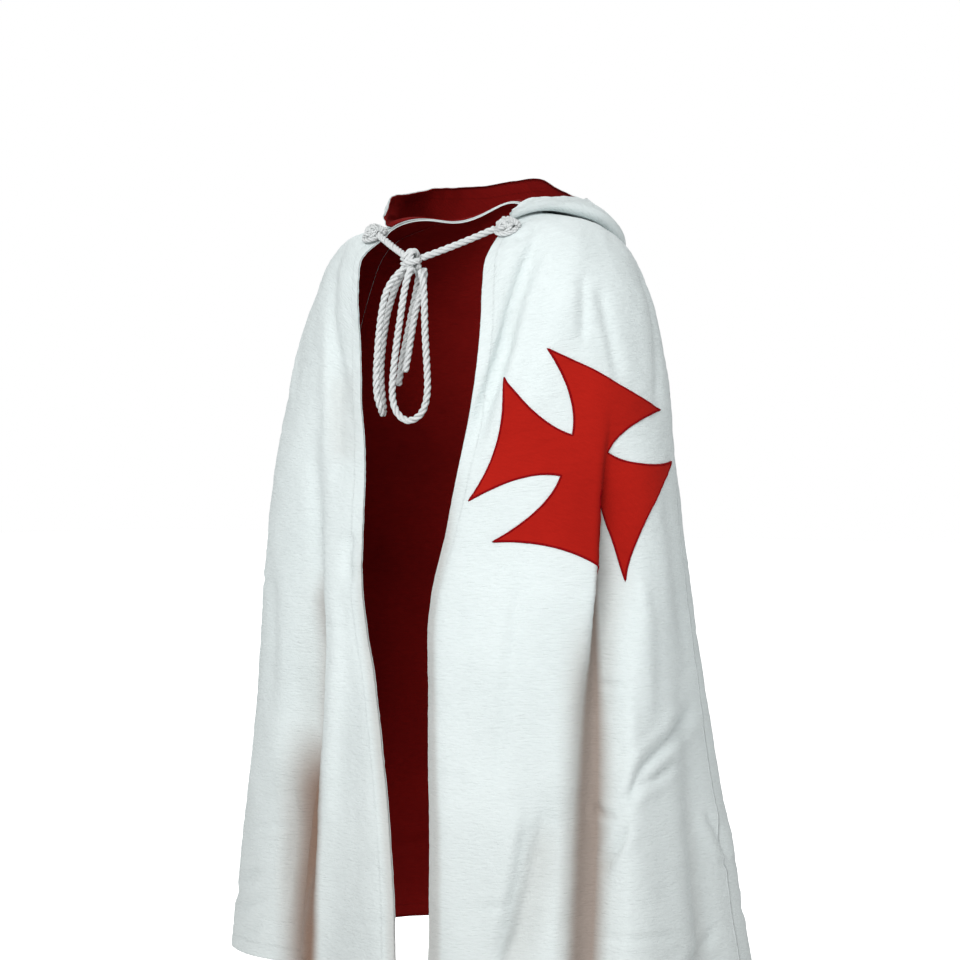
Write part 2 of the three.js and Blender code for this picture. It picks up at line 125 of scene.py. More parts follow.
def soft_noise(u: np.ndarray, v: np.ndarray, seed: int, octaves: int = 3) -> np.ndarray:
    """Gradient noise over a plane.

    Args:
        u: first coordinate, one cell to each unit.
        v: second coordinate.
        seed: which pattern.
        octaves: how many finer layers are summed.

    Returns:
        Values of about -1 to 1.
    """
    total = np.zeros(np.broadcast(u, v).shape)
    for octave in range(octaves):
        scale = 2.0 ** octave
        angles = np.random.default_rng(seed + octave).uniform(0, 2 * math.pi, (64, 64))
        x, y = u * scale, v * scale
        i, j = np.floor(x).astype(int), np.floor(y).astype(int)
        fx, fy = x - i, y - j
        wx, wy = smooth(fx), smooth(fy)
        corner = {}
        for a in (0, 1):
            for b in (0, 1):
                angle = angles[(i + a) % 64, (j + b) % 64]
                corner[a, b] = np.cos(angle) * (fx - a) + np.sin(angle) * (fy - b)
        low = mix(corner[0, 0], corner[1, 0], wx)
        high = mix(corner[0, 1], corner[1, 1], wx)
        total = total + mix(low, high, wy) * 1.4 / scale
    return total


# ---------- Camera ----------
@dataclass(frozen=True)
class Studio:
    """Level camera before the cloak's left front, pale floor and soft lights."""

    azimuth: float = 37.0
    distance: float = 3.5
    height: float = -0.39
    frame_side: float = 960.0
    focal: float = 2448.0
    sensor: float = 36.0
    floor_drop: float = -1.32
    floor_reach: float = 30.0
    sky: float = 0.46
    lamp_distance: float = 3.4
    lamp_aim: float = -0.5
    lamps: tuple[tuple[str, float, float, float, float], ...] = (
        ("key_light", 20, 30, 79, 2.2), ("fill_light", 95, 30, 8, 2.8), ("back_light", 215, 40, 46, 2.0))

    def stand(self) -> tuple[float, float, float]:
        """Where the camera stands, in metres."""
        turn = math.radians(self.azimuth)
        return self.distance * math.sin(turn), -self.distance * math.cos(turn), self.height

    def frame_place(self, points: np.ndarray) -> tuple[np.ndarray, np.ndarray]:
        """Where points stand in the camera's square frame.

        Args:
            points: places in the row frame, in metres.

        Returns:
            Across from the left and down from the top, in 960ths of the frame's side.
        """
        turn = math.radians(self.azimuth)
        across = points[..., 0] * math.cos(turn) + points[..., 1] * math.sin(turn)
        towards = points[..., 0] * math.sin(turn) - points[..., 1] * math.cos(turn)
        scale = self.focal / (self.distance - towards)
        middle = self.frame_side / 2
        return middle + scale * across, middle - scale * (points[..., 2] - self.height)

    def seen_from(self, points: np.ndarray, normals: np.ndarray) -> np.ndarray:
        """How squarely each spot faces the camera, from -1 to 1."""
        return (unit(np.array(self.stand()) - points) * normals).sum(-1)

    def make_camera(self) -> bpy.types.Object:
        """Place the camera.

        Returns:
            The scene's camera.
        """
        data = bpy.data.cameras.new("camera")
        data.sensor_width = self.sensor
        data.lens = self.focal / self.frame_side * self.sensor
        data.clip_end = 60
        camera = bpy.data.objects.new("camera", data)
        camera.location = self.stand()
        camera.rotation_euler = (math.pi / 2, 0, math.radians(self.azimuth))
        bpy.context.scene.collection.objects.link(camera)
        bpy.context.scene.camera = camera
        return camera

    def make_floor(self) -> bpy.types.Object:
        """Lay the floor.

        Returns:
            The floor.
        """
        side, drop = self.floor_reach, self.floor_drop
        mesh = bpy.data.meshes.new("floor")
        corners = [(-side, -side, drop), (side, -side, drop), (side, side, drop), (-side, side, drop)]
        mesh.from_pydata(corners, [], [(0, 1, 2, 3)])
        floor = bpy.data.objects.new("floor", mesh)
        bpy.context.scene.collection.objects.link(floor)
        made = MaterialMaker("studio_floor")
        camera_ray = made.node("LightPath").outputs["Is Camera Ray"]
        mesh.materials.append(made.finish({
            "Base Color": (0.85, 0.85, 0.85, 1), "Roughness": 0.9, "Emission Color": (1, 1, 1, 1),
            "Emission Strength": camera_ray}))
        return floor

    def add_lamp(self, name: str, azimuth: float, elevation: float, power: float, size: float) -> None:
        """Hang one square soft light that faces the cloak.

        Args:
            name: the lamp's name.
            azimuth: where it stands, from the front towards the wearer's left.
            elevation: how high it stands, in degrees.
            power: in watts.
            size: its side, in metres.
        """
        data = bpy.data.lights.new(name, "AREA")
        data.energy = power
        data.size = size
        lamp = bpy.data.objects.new(name, data)
        around, up = math.radians(azimuth), math.radians(elevation)
        away = Vector((math.sin(around) * math.cos(up), -math.cos(around) * math.cos(up), math.sin(up)))
        lamp.location = away * self.lamp_distance + Vector((0, 0, self.lamp_aim))
        lamp.rotation_mode = "QUATERNION"
        lamp.rotation_quaternion = away.to_track_quat("Z", "Y")
        bpy.context.scene.collection.objects.link(lamp)

    def light(self) -> None:
        """Set the sky and the lamps, with a white ground behind the cloak for the camera alone."""
        world = bpy.data.worlds.new("studio")
        world.use_nodes = True
        made = NodeMaker(world.node_tree)
        camera_ray = made.node("LightPath").outputs["Is Camera Ray"]
        strength = made.node("MapRange", {"Value": camera_ray, "To Min": self.sky, "To Max": 1.0})
        background = world.node_tree.nodes["Background"]
        made.put(background.inputs["Color"], (1.0, 1.0, 1.0, 1))
        made.put(background.inputs["Strength"], strength.outputs["Result"])
        bpy.context.scene.world = world
        bpy.context.scene.view_settings.view_transform = "Standard"
        for lamp in self.lamps:
            self.add_lamp(*lamp)


STUDIO = Studio()


# ---------- The worn form ----------
EIGHTHS = ["front", "leftFront", "left", "leftBack", "back", "rightBack", "right", "rightFront"]
SECTIONS = Table(["down", "zSide", "zFront", "zBack", *EIGHTHS], [
    [0, -12, -107, 14, 150, 140, 92, 84, 76, 84, 92, 140],
    [35, -18, -119, 6, 160, 152, 128, 112, 98, 112, 133, 152],
    [85, -30, -142, -18, 166, 172, 182, 148, 118, 150, 201, 174],
    [140, -56, -181, -54, 170, 188, 222, 176, 136, 184, 241, 189],
    [210, -112, -223, -112, 174, 204, 256, 198, 152, 212, 274, 201],
    [330, -228, -290, -228, 180, 223, 286, 220, 172, 244, 318, 214],
    [480, -376, -400, -376, 190, 240, 302, 238, 196, 274, 358, 228],
    [640, -536, -540, -536, 204, 258, 318, 256, 220, 298, 377, 240],
    [820, -716, -716, -716, 220, 282, 338, 278, 246, 322, 386, 250],
    [1000, -896, -896, -896, 240, 308, 364, 306, 272, 346, 406, 262],
    [1184, -1080, -1080, -1080, 262, 336, 392, 336, 300, 372, 430, 274],
])

EDGES = Table(["down", "left", "right"], [
    [0, 51, -51], [35, 46, -48], [85, 39.5, -43], [140, 38, -36.5], [210, 37.3, -31], [330, 34.5, -27],
    [480, 28, -22.5], [560, 24, -22.5], [640, 18.6, -21], [820, 18.3, -5], [1000, 21, 7], [1184, 22, 13],
])

# The deep fold's line, its depth and the half widths of its near and its far side, in degrees.
DEEP_FOLD = Table(["down", "azimuth", "depth", "near", "far"], [
    [340, 75.8, 0, 1.7, 6.8], [380, 75.8, 0, 1.7, 6.8], [480, 74.1, -12.7, 1.77, 7.1],
    [560, 72.8, -28, 1.83, 7.3], [620, 71.9, -37, 2, 7], [700, 71.2, -41, 3.7, 4.4],
    [800, 70, -41, 6.2, 2.6], [920, 67.7, -39, 6.9, 2.2], [1184, 62, -36, 6.3, 2.1],
])

# Azimuth at the start and at the hem, down where it starts and is full, depth, half width at start and hem.
HANGING_FOLDS = Table(["azStart", "azHem", "start", "full", "depth", "wideStart", "wideHem"], [
    [77, 69, 500, 1184, 14, 5, 7],
    [54, 44, 780, 1184, -16, 4, 5],
    [96, 92, 600, 1184, -24, 6, 6],
    [112, 112, 420, 1184, 20, 7, 8],
    [129, 130, 380, 1184, -28, 7, 7],
    [147, 149, 420, 1184, 20, 7, 8],
    [170, 168, 330, 1184, -30, 8, 7],
    [187, 186, 330, 1184, 18, 8, 8],
    [205, 206, 400, 1184, -28, 7, 7],
    [221, 223, 400, 1184, 20, 8, 8],
    [239, 241, 420, 1184, -26, 6, 6],
    [257, 258, 520, 1184, 14, 7, 7],
    [286, 287, 560, 1184, 12, 7, 9],
    [312, 309, 330, 1184, -30, 6, 8],
    [331, 327, 640, 1184, 10, 6, 7],
])

DRAPE_FOLDS = Table(["azStart", "azEnd", "start", "end", "depth", "wideStart", "wideEnd"], [
    [66, 31, 60, 470, -12, 5, 4],
    [78, 46, 60, 470, 7, 7, 6],
    [294, 330, 70, 430, -8, 6, 5],
])

HOOD_RIM = Table(["azimuth", "radius", "height", "pouch"], [
    [56, 137, -19, 12], [64, 131, -6, 22], [75, 130, 2, 34], [90, 134, 6, 50], [110, 146, 8, 96],
    [127, 152, 12, 146], [145, 154, 18, 190], [162, 158, 30, 222], [172, 158, 42, 233], [180, 158, 55, 238],
    [198, 158, 56, 222], [215, 158, 50, 190], [233, 157, 46, 146], [250, 155, 40, 96], [264, 150, 32, 58],
    [284, 142, 21, 34], [293, 137, 8, 24], [300, 138, -8, 12],
])


@dataclass(frozen=True)
class WornForm:
    """The cloth's outer face, as a place for each azimuth and each length down the cloth."""

    roll_reach: float = 9.0
    roll_left: float = 24.0
    roll_right: float = 10.0
    roll_from: float = 350.0
    roll_full: float = 850.0
    # Strengths of the shade painted into the colour: the deep fold, the rolled front edges and the other
    # folds.
    deep_shade_share: float = 0.8
    rolled_shade_share: float = 0.34
    folded_shade_share: float = 0.24

    def ring_radius(self, down: np.ndarray, azimuth: np.ndarray) -> np.ndarray:
        """Radius through the eight compass radii.

        Args:
            down: lengths down the cloth, in millimetres.
            azimuth: in degrees.

        Returns:
            Radii in millimetres.
        """
        radius = np.zeros(np.broadcast(down, azimuth).shape)
        for i, name in enumerate(EIGHTHS):
            share = np.zeros_like(radius)
            for wave in range(5):
                weight = 1 / 8 if wave in (0, 4) else 2 / 8
                share = share + weight * np.cos(np.radians(wave * (azimuth - 45 * i)))
            radius = radius + share * SECTIONS.along("down", name, down)
        return radius

    def fold_depth(self, down: np.ndarray, azimuth: np.ndarray) -> np.ndarray:
        """How far the large folds move the cloth outward.

        Args:
            down: lengths down the cloth, in millimetres.
            azimuth: in degrees.

        Returns:
            Distances in millimetres.
        """
        away = turn_between(azimuth, DEEP_FOLD.along("down", "azimuth", down))
        wide = np.where(away > 0, DEEP_FOLD.along("down", "far", down), DEEP_FOLD.along("down", "near", down))
        depth = DEEP_FOLD.along("down", "depth", down) * np.exp(-((away / wide) ** 2))
        for fold in HANGING_FOLDS.rows():
            run = np.clip((down - fold["start"]) / (HEM_DOWN - fold["start"]), 0, 1)
            away = turn_between(azimuth, mix(fold["azStart"], fold["azHem"], run))
            grown = smooth((down - fold["start"]) / (fold["full"] - fold["start"])) ** 0.8
            wide = mix(fold["wideStart"], fold["wideHem"], run)
            depth = depth + fold["depth"] * grown * np.exp(-((away / wide) ** 2))
        for fold in DRAPE_FOLDS.rows():
            run = np.clip((down - fold["start"]) / (fold["end"] - fold["start"]), 0, 1)
            away = turn_between(azimuth, mix(fold["azStart"], fold["azEnd"], run))
            wide = mix(fold["wideStart"], fold["wideEnd"], run)
            depth = depth + fold["depth"] * np.sin(math.pi * run) * np.exp(-((away / wide) ** 2))
        return depth

    def front_roll(self, down: np.ndarray, azimuth: np.ndarray) -> np.ndarray:
        """How far the cloth turns in beside each front edge.

        Args:
            down: lengths down the cloth, in millimetres.
            azimuth: in degrees.

        Returns:
            Distances in millimetres.
        """
        grown = smooth((down - self.roll_from) / (self.roll_full - self.roll_from))

        def near(edge: str) -> np.ndarray:
            """Closeness to one edge, from 0 to 1."""
            away = np.abs(turn_between(azimuth, EDGES.along("down", edge, down)))
            return np.clip(1 - away / self.roll_reach, 0, 1) ** 2

        return grown * (self.roll_left * near("left") + self.roll_right * near("right"))

    def hollow(self, down: np.ndarray, azimuth: np.ndarray) -> np.ndarray:
        """Strength of the shade painted into the cloth's colour in the folds and beside the rolled front
        edges.

        Args:
            down: lengths down the cloth, in millimetres.
            azimuth: in degrees.

        Returns:
            Shares from 0 to 1.
        """
        away = turn_between(azimuth, DEEP_FOLD.along("down", "azimuth", down))
        near = np.maximum(DEEP_FOLD.along("down", "near", down), 3.0)
        deep = np.where(away > 0, np.exp(-((away / 1.3) ** 2)), smooth((away + 1.55 * near) / near))
        deep = self.deep_shade_share * deep * smooth(-DEEP_FOLD.along("down", "depth", down) / 30)
        rolled = self.rolled_shade_share * smooth(self.front_roll(down, azimuth) / 8 - 0.1)
        folded = self.folded_shade_share * smooth(-self.fold_depth(down, azimuth) / 30 - 0.12)
        return np.maximum.reduce([deep, rolled, folded])

    def base(self, down: np.ndarray, azimuth: np.ndarray) -> np.ndarray:
        """Points of the outer face without its creases.

        Args:
            down: lengths down the cloth, in millimetres.
            azimuth: in degrees.

        Returns:
            Points in metres, in an array with one more axis.
        """
        radius = (self.ring_radius(down, azimuth) + self.fold_depth(down, azimuth)
                  - self.front_roll(down, azimuth))
        sine, cosine = np.sin(np.radians(azimuth)), np.cos(np.radians(azimuth))
        front = SECTIONS.along("down", "zFront", down)
        back = SECTIONS.along("down", "zBack", down)
        side = SECTIONS.along("down", "zSide", down)
        ends = (front * (1 + cosine) + back * (1 - cosine)) / 2
        height = side * sine ** 2 + ends * cosine ** 2
        return np.stack([radius * sine, -radius * cosine, height], -1) * MM

    def normal(self, down: np.ndarray, azimuth: np.ndarray,
               surface: Optional[Callable[[np.ndarray, np.ndarray], np.ndarray]] = None,
               step: float = 2.0, turn: float = 0.6) -> np.ndarray:
        """Outward normals of a surface over the cloth.

        Args:
            down: lengths down the cloth, in millimetres.
            azimuth: in degrees.
            surface: what gives the points, or None for the form without creases.
            step: how far down the slope is taken, in millimetres.
            turn: how far round it is taken, in degrees.

        Returns:
            Unit vectors.
        """
        place = surface or self.base
        fall = place(np.minimum(down + step, HEM_DOWN), azimuth) - place(np.maximum(down - step, 0), azimuth)
        around = place(down, azimuth + turn) - place(down, azimuth - turn)
        return unit(np.cross(fall, around))


FORM = WornForm()


class Crease(Enum):
    """How a crease is shaped across its line."""

    SOFT = "soft"
    SHARP = "sharp"
    LIP = "lip"


@dataclass(frozen=True)
class CreaseLine:
    """One crease as it is laid: its shape, depth in millimetres, half width and its line."""

    shape: Crease
    depth: float
    width: float
    line: tuple[tuple[float, float], ...]

    def depth_at(self, across: np.ndarray, along: np.ndarray) -> np.ndarray:
        """Depth at places in the plane that the line is drawn in.

        Args:
            across: first coordinate of the places.
            along: second coordinate.

        Returns:
            Depth in millimetres, outward positive.
        """
        nearest = np.full(across.shape, np.inf)
        side = np.zeros(across.shape)
        run = np.zeros(across.shape)
        points = np.array(self.line, float)
        lengths = np.linalg.norm(np.diff(points, axis=0), axis=1)
        total, before = lengths.sum(), 0.0
        for (x, y), (x2, y2), length in zip(points[:-1], points[1:], lengths):
            dx, dy = (x2 - x) / length, (y2 - y) / length
            t = np.clip((across - x) * dx + (along - y) * dy, 0, length)
            away = np.hypot(across - x - t * dx, along - y - t * dy)
            closer = away < nearest
            nearest = np.where(closer, away, nearest)
            side = np.where(closer, np.sign((across - x) * dy - (along - y) * dx), side)
            run = np.where(closer, (before + t) / total, run)
            before += length
        faded = smooth(run / 0.22 + 0.04) * smooth((1 - run) / 0.3 + 0.04)
        share = nearest / self.width
        if self.shape is Crease.SOFT:
            profile = np.exp(-share ** 2)
        elif self.shape is Crease.SHARP:
            profile = np.exp(-np.sqrt(share ** 2 + 0.04) * 1.6 + 0.32) - 0.35 * np.exp(-((share - 1.9) ** 2))
        else:
            profile = np.where(side > 0, np.exp(-(share * 2.6) ** 2), np.exp(-(share * 0.8) ** 2))
        return self.depth * faded * profile


SOFT, SHARP, LIP = Crease.SOFT, Crease.SHARP, Crease.LIP

# Creases of the two fronts, laid out in the camera's frame of 960 by 960, which faces them.
FRONT_CREASES = [CreaseLine(shape, depth, width, tuple(line)) for shape, depth, width, line in (
    (SOFT, 5, 9, [(330, 280), (330, 400), (328, 503)]),
    (SOFT, -4, 7, [(338, 360), (337, 410), (339, 460)]),
    (SOFT, -5, 7, [(313, 430), (317, 597), (313, 713), (308, 813)]),
    (SOFT, 3.5, 7, [(334, 560), (336, 660), (330, 760), (326, 850)]),
    (LIP, -9, 15, [(318, 590), (314, 713), (308, 813), (306, 935)]),
    (SHARP, -3, 5, [(288, 760), (291, 827), (286, 930)]),
    (SOFT, -4, 6, [(350, 530), (346, 556), (348, 590)]),
    (SHARP, -1.5, 3, [(322, 625), (334, 627), (346, 626)]),
    (SHARP, -1.2, 3, [(252, 796), (270, 798), (292, 795)]),
    (SHARP, -1.6, 3, [(248, 829), (268, 827), (292, 826)]),
    (SHARP, -1.6, 3, [(344, 924), (366, 922), (392, 924)]),
    (SHARP, -3, 5, [(236, 884), (248, 878), (262, 868)]),
    (SHARP, -3, 5, [(235, 912), (250, 905), (268, 896)]),
    (SHARP, -2.5, 5, [(236, 944), (252, 932), (264, 918)]),
    (SOFT, -3, 6, [(270, 560), (272, 640), (268, 720)]),
    (SOFT, -6, 9, [(540, 223), (525, 262), (510, 307), (503, 347), (493, 378), (483, 407), (467, 467)]),
    (SOFT, 4.5, 9, [(560, 235), (532, 300), (520, 350), (502, 410), (486, 466)]),
    (SHARP, -2.5, 4, [(513, 241), (527, 234), (542, 222)]),
    (SOFT, -2.6, 6, [(583, 270), (584, 312), (583, 350)]),
    (SOFT, -3.2, 7, [(598, 282), (611, 335), (621, 392)]),
    (LIP, -6, 16, [(500, 975), (517, 937), (533, 870), (548, 790)]),
    (SOFT, 4, 9, [(520, 800), (505, 880), (488, 960)]),
    (SHARP, -2.4, 5, [(478, 912), (492, 907), (510, 908)]),
    (SHARP, -5.5, 6, [(696, 700), (673, 737), (647, 763), (620, 807)]),
    (SHARP, -4, 5, [(680, 758), (656, 777), (640, 787), (618, 809)]),
    (SHARP, -3, 4, [(593, 804), (604, 815), (620, 818)]),
    (SHARP, -4.5, 5, [(630, 822), (617, 847), (600, 876)]),
    (SHARP, -2, 4, [(598, 683), (614, 686), (630, 686)]),
    (SHARP, -1.8, 3.5, [(594, 937), (640, 939), (690, 936)]),
    (SHARP, -3, 5, [(718, 925), (702, 948), (684, 972)]),
    (SHARP, -3.5, 5, [(704, 808), (719, 835), (731, 866)]),
    (SHARP, -2.5, 4, [(716, 862), (728, 864), (742, 860)]),
    (SOFT, -4, 8, [(668, 470), (680, 580), (690, 690)]),
    (SOFT, 3, 9, [(640, 560), (648, 660), (650, 740)]),
    (SOFT, -2.4, 8, [(520, 560), (512, 650), (500, 740), (494, 820)]),
)]

# Shade painted into the colour along troughs of the two fronts, in the same frame: how strong from 0 to 1,
# half width and line.
FRONT_PAINTED_SHADE = [CreaseLine(LIP, strength, width, tuple(line)) for strength, width, line in (
    (0.40, 6, [(319, 560), (317, 640), (314, 713), (313, 790)]),
    (1.00, 19, [(316, 700), (313, 800), (310, 880), (309, 1150)]),
    (0.22, 30, [(498, 1010), (515, 937), (532, 870), (548, 795)]),
    (0.62, 17, [(592, 600), (591, 640), (592, 704), (589, 801), (583, 900), (580, 1150)]),
    (0.14, 16, [(339, 470), (336, 420), (338, 360)]),
)]

# Creases of the sides and back: places are azimuth in degrees and down in millimetres, width in millimetres.
SIDE_CREASES = [CreaseLine(shape, depth, width, tuple(line)) for shape, depth, width, line in (
    (SHARP, -5, 10, [(118, 820), (126, 872), (140, 905)]),
    (SHARP, -4, 8, [(120, 900), (130, 935), (141, 945)]),
    (SHARP, -5, 10, [(176, 760), (168, 815), (158, 848)]),
    (SHARP, -4, 8, [(190, 960), (200, 1002), (212, 1020)]),
    (SHARP, -5, 10, [(214, 700), (224, 765), (236, 800)]),
    (SHARP, -3.5, 8, [(216, 1040), (226, 1062), (240, 1066)]),
    (SHARP, -4.5, 9, [(252, 860), (262, 905), (276, 925)]),
    (SHARP, -4, 8, [(246, 980), (256, 1010), (270, 1022)]),
    (SHARP, -2, 6, [(150, 1008), (166, 1012), (182, 1008)]),
    (SHARP, -2, 6, [(108, 706), (120, 710), (134, 704)]),
    (SHARP, -2, 6, [(230, 560), (244, 566), (258, 562)]),
    (SHARP, -2, 6, [(280, 640), (290, 645), (299, 640)]),
    (SHARP, -3.5, 9, [(266, 1090), (280, 1110), (292, 1104)]),
    (SHARP, -3.5, 9, [(108, 1080), (122, 1104), (138, 1098)]),
    (SOFT, -5, 14, [(150, 300), (160, 420), (176, 520)]),
    (SOFT, -5, 14, [(212, 290), (203, 420), (190, 540)]),
    (SOFT, -4, 13, [(118, 240), (126, 360), (140, 470)]),
    (SOFT, -4, 13, [(246, 240), (240, 360), (226, 470)]),
    (SOFT, -4, 12, [(262, 150), (272, 260), (288, 380)]),
    (SOFT, 4, 14, [(276, 170), (284, 290), (296, 400)]),
    (SOFT, -4, 12, [(100, 170), (98, 290), (90, 420)]),
)]


class WornCloth:
    """The outer face with its creases, as it is seen and felt."""

    crumple = 1.5
    crumple_size = (74.0, 96.0)
    ripple = 0.6
    ripple_size = (34.0, 9.0)
    around_scale = 4.6
    pressed = 1.6
    # Strength of the shade painted into the colour towards the hem.
    foot = 0.1
    crease_facing = -0.06
    # How far the painted shade reaches onto faces turned from the camera.
    shade_facing = -0.35

    def bare(self, down: np.ndarray, azimuth: np.ndarray) -> np.ndarray:
        """Where no hood lies on the cloth.

        Args:
            down: lengths down the cloth, in millimetres.
            azimuth: in degrees.

        Returns:
            1 where the cloth is bare, fading to 0 beneath the hood.
        """
        turned = azimuth % 360.0
        covered = smooth((turned - 50.0) / 6.0) * smooth((306.0 - turned) / 6.0)
        pouch = HOOD_RIM.along("azimuth", "pouch", turned)
        return 1.0 - covered * (1.0 - smooth((down - pouch - 14.0) / 25.0))

    @staticmethod
    def facing(azimuth: np.ndarray, place: np.ndarray, normals: np.ndarray, least: float) -> np.ndarray:
        """1 on the fronts where they face the camera, fading to 0 where they face it by the least share."""
        seen = smooth((STUDIO.seen_from(place, normals) - least) / 0.2)
        return seen * (np.abs(turn_between(azimuth, 0.0)) < SIDE_SEAM + 8)

    def hollow(self, down: np.ndarray, azimuth: np.ndarray) -> np.ndarray:
        """Strength of the shade painted into the cloth's colour: in the folds, along the listed troughs of
        the fronts and growing towards the hem.

        Args:
            down: lengths down the cloth, in millimetres.
            azimuth: in degrees.

        Returns:
            Shares from 0 to 1.
        """
        place = FORM.base(down, azimuth)
        facing = self.facing(azimuth, place, FORM.normal(down, azimuth), self.shade_facing)
        across, drop = STUDIO.frame_place(place)
        share = np.maximum(FORM.hollow(down, azimuth), self.foot * smooth((down - 600) / 580))
        for line in FRONT_PAINTED_SHADE:
            share = np.maximum(share, facing * line.depth_at(across, drop))
        return share

    def crease_depth(self, down: np.ndarray, azimuth: np.ndarray, place: np.ndarray,
                     normals: np.ndarray) -> np.ndarray:
        """Depth of the listed creases and the cloth's own crumple.

        Args:
            down: lengths down the cloth, in millimetres.
            azimuth: in degrees.
            place: the form's points there, in metres.
            normals: the form's normals there.

        Returns:
            Depth in millimetres, outward positive.
        """
        across, drop = STUDIO.frame_place(place)
        facing = self.facing(azimuth, place, normals, self.crease_facing)
        depth = np.zeros(across.shape)
        for crease in FRONT_CREASES:
            depth = depth + self.pressed * facing * crease.depth_at(across, drop)
        turned = azimuth % 360.0
        degree = float(np.median(np.radians(1.0) * np.linalg.norm(place[..., :2], axis=-1) / MM))
        for crease in SIDE_CREASES:
            middle = np.mean([point[0] for point in crease.line])
            flat = tuple(((a - middle) * degree, d) for a, d in crease.line)
            moved = CreaseLine(crease.shape, crease.depth, crease.width, flat)
            depth = depth + moved.depth_at((turned - middle) * degree, down)
        around = turned * self.around_scale
        for height, (wide, long), seed, octaves in ((self.crumple, self.crumple_size, 11, 3),
                                                    (self.ripple, self.ripple_size, 31, 2)):
            depth = depth + height * soft_noise(around / wide, down / long, seed, octaves)
        return depth * self.bare(down, azimuth)

    def point(self, down: np.ndarray, azimuth: np.ndarray) -> np.ndarray:
        """Points of the creased outer face.

        Args:
            down: lengths down the cloth, in millimetres.
            azimuth: in degrees.

        Returns:
            Points in metres.
        """
        place = FORM.base(down, azimuth)
        normals = FORM.normal(down, azimuth)
        depth = self.crease_depth(down, azimuth, place, normals)
        return place + normals * depth[..., None] * MM

    def normal(self, down: np.ndarray, azimuth: np.ndarray) -> np.ndarray:
        """Outward normals of the creased outer face."""
        return FORM.normal(down, azimuth, self.point, 1.5, 0.4)


CLOTH = WornCloth()


# ---------- Node groups and finishes ----------
Value = Union[float, tuple, bpy.types.NodeSocket]


class NodeMaker:
    """Adds nodes to one node tree."""

    def __init__(self, tree: bpy.types.NodeTree) -> None:
        """Keep the tree that the nodes go into."""
        self.tree = tree

    def put(self, socket: bpy.types.NodeSocket, value: Value) -> None:
        """Feed an input socket.

        Args:
            socket: the input.
            value: another socket to link, or a number or colour to set.
        """
        if isinstance(value, bpy.types.NodeSocket):
            self.tree.links.new(value, socket)
        else:
            socket.default_value = value

    def node(self, kind: str, values: Optional[dict[str, Value]] = None, **settings) -> bpy.types.Node:
        """Add a shader node.

        Args:
            kind: the node's type.
            values: what feeds its inputs, by name.
            settings: its properties.

        Returns:
            The node.
        """
        made = self.tree.nodes.new("ShaderNode" + kind)
        for name, setting in settings.items():
            setattr(made, name, setting)
        for name, value in (values or {}).items():
            self.put(made.inputs[name], value)
        return made

    def sums(self, operation: str, *terms: Value, kind: str = "Math") -> bpy.types.NodeSocket:
        """Add a Math node.

        Args:
            operation: what it does.
            terms: what feeds its inputs, in order.
            kind: Math or VectorMath.

        Returns:
            Its result.
        """
        made = self.node(kind, operation=operation)
        for socket, term in zip(made.inputs, terms):
            self.put(socket, term)
        return made.outputs[0]

    def noise(self, vector: bpy.types.NodeSocket, stretch: tuple[float, float, float],
              detail: float = 2.0) -> bpy.types.NodeSocket:
        """Add stretched noise.

        Args:
            vector: the coordinates, in metres.
            stretch: cells to the metre along each axis.
            detail: layers of detail.

        Returns:
            Its value, from 0 to 1.
        """
        mapping = self.node("Mapping", {"Scale": stretch, "Vector": vector})
        made = self.node("TexNoise", {"Scale": 1.0, "Detail": detail, "Vector": mapping.outputs["Vector"]})
        return made.outputs["Fac"]


class GroupMaker(NodeMaker):
    """Builds one shader node group with named sockets."""

    def __init__(self, name: str, takes: dict[str, Optional[float]], gives: Sequence[str]) -> None:
        """Start a group.

        Args:
            name: the group's name.
            takes: each input's name and usual value, or None for coordinates.
            gives: the names of its values.
        """
        super().__init__(bpy.data.node_groups.new(name, "ShaderNodeTree"))
        for key, value in takes.items():
            kind = "NodeSocketVector" if value is None else "NodeSocketFloat"
            socket = self.tree.interface.new_socket(name=key, in_out="INPUT", socket_type=kind)
            if value is not None:
                socket.default_value = value
        for key in gives:
            self.tree.interface.new_socket(name=key, in_out="OUTPUT", socket_type="NodeSocketFloat")
        self.start = self.tree.nodes.new("NodeGroupInput")
        self.end = self.tree.nodes.new("NodeGroupOutput")

    def take(self, name: str) -> bpy.types.NodeSocket:
        """The socket that an input comes from."""
        return self.start.outputs[name]

    def give(self, name: str, value: bpy.types.NodeSocket) -> None:
        """Send a value out of the group."""
        self.put(self.end.inputs[name], value)


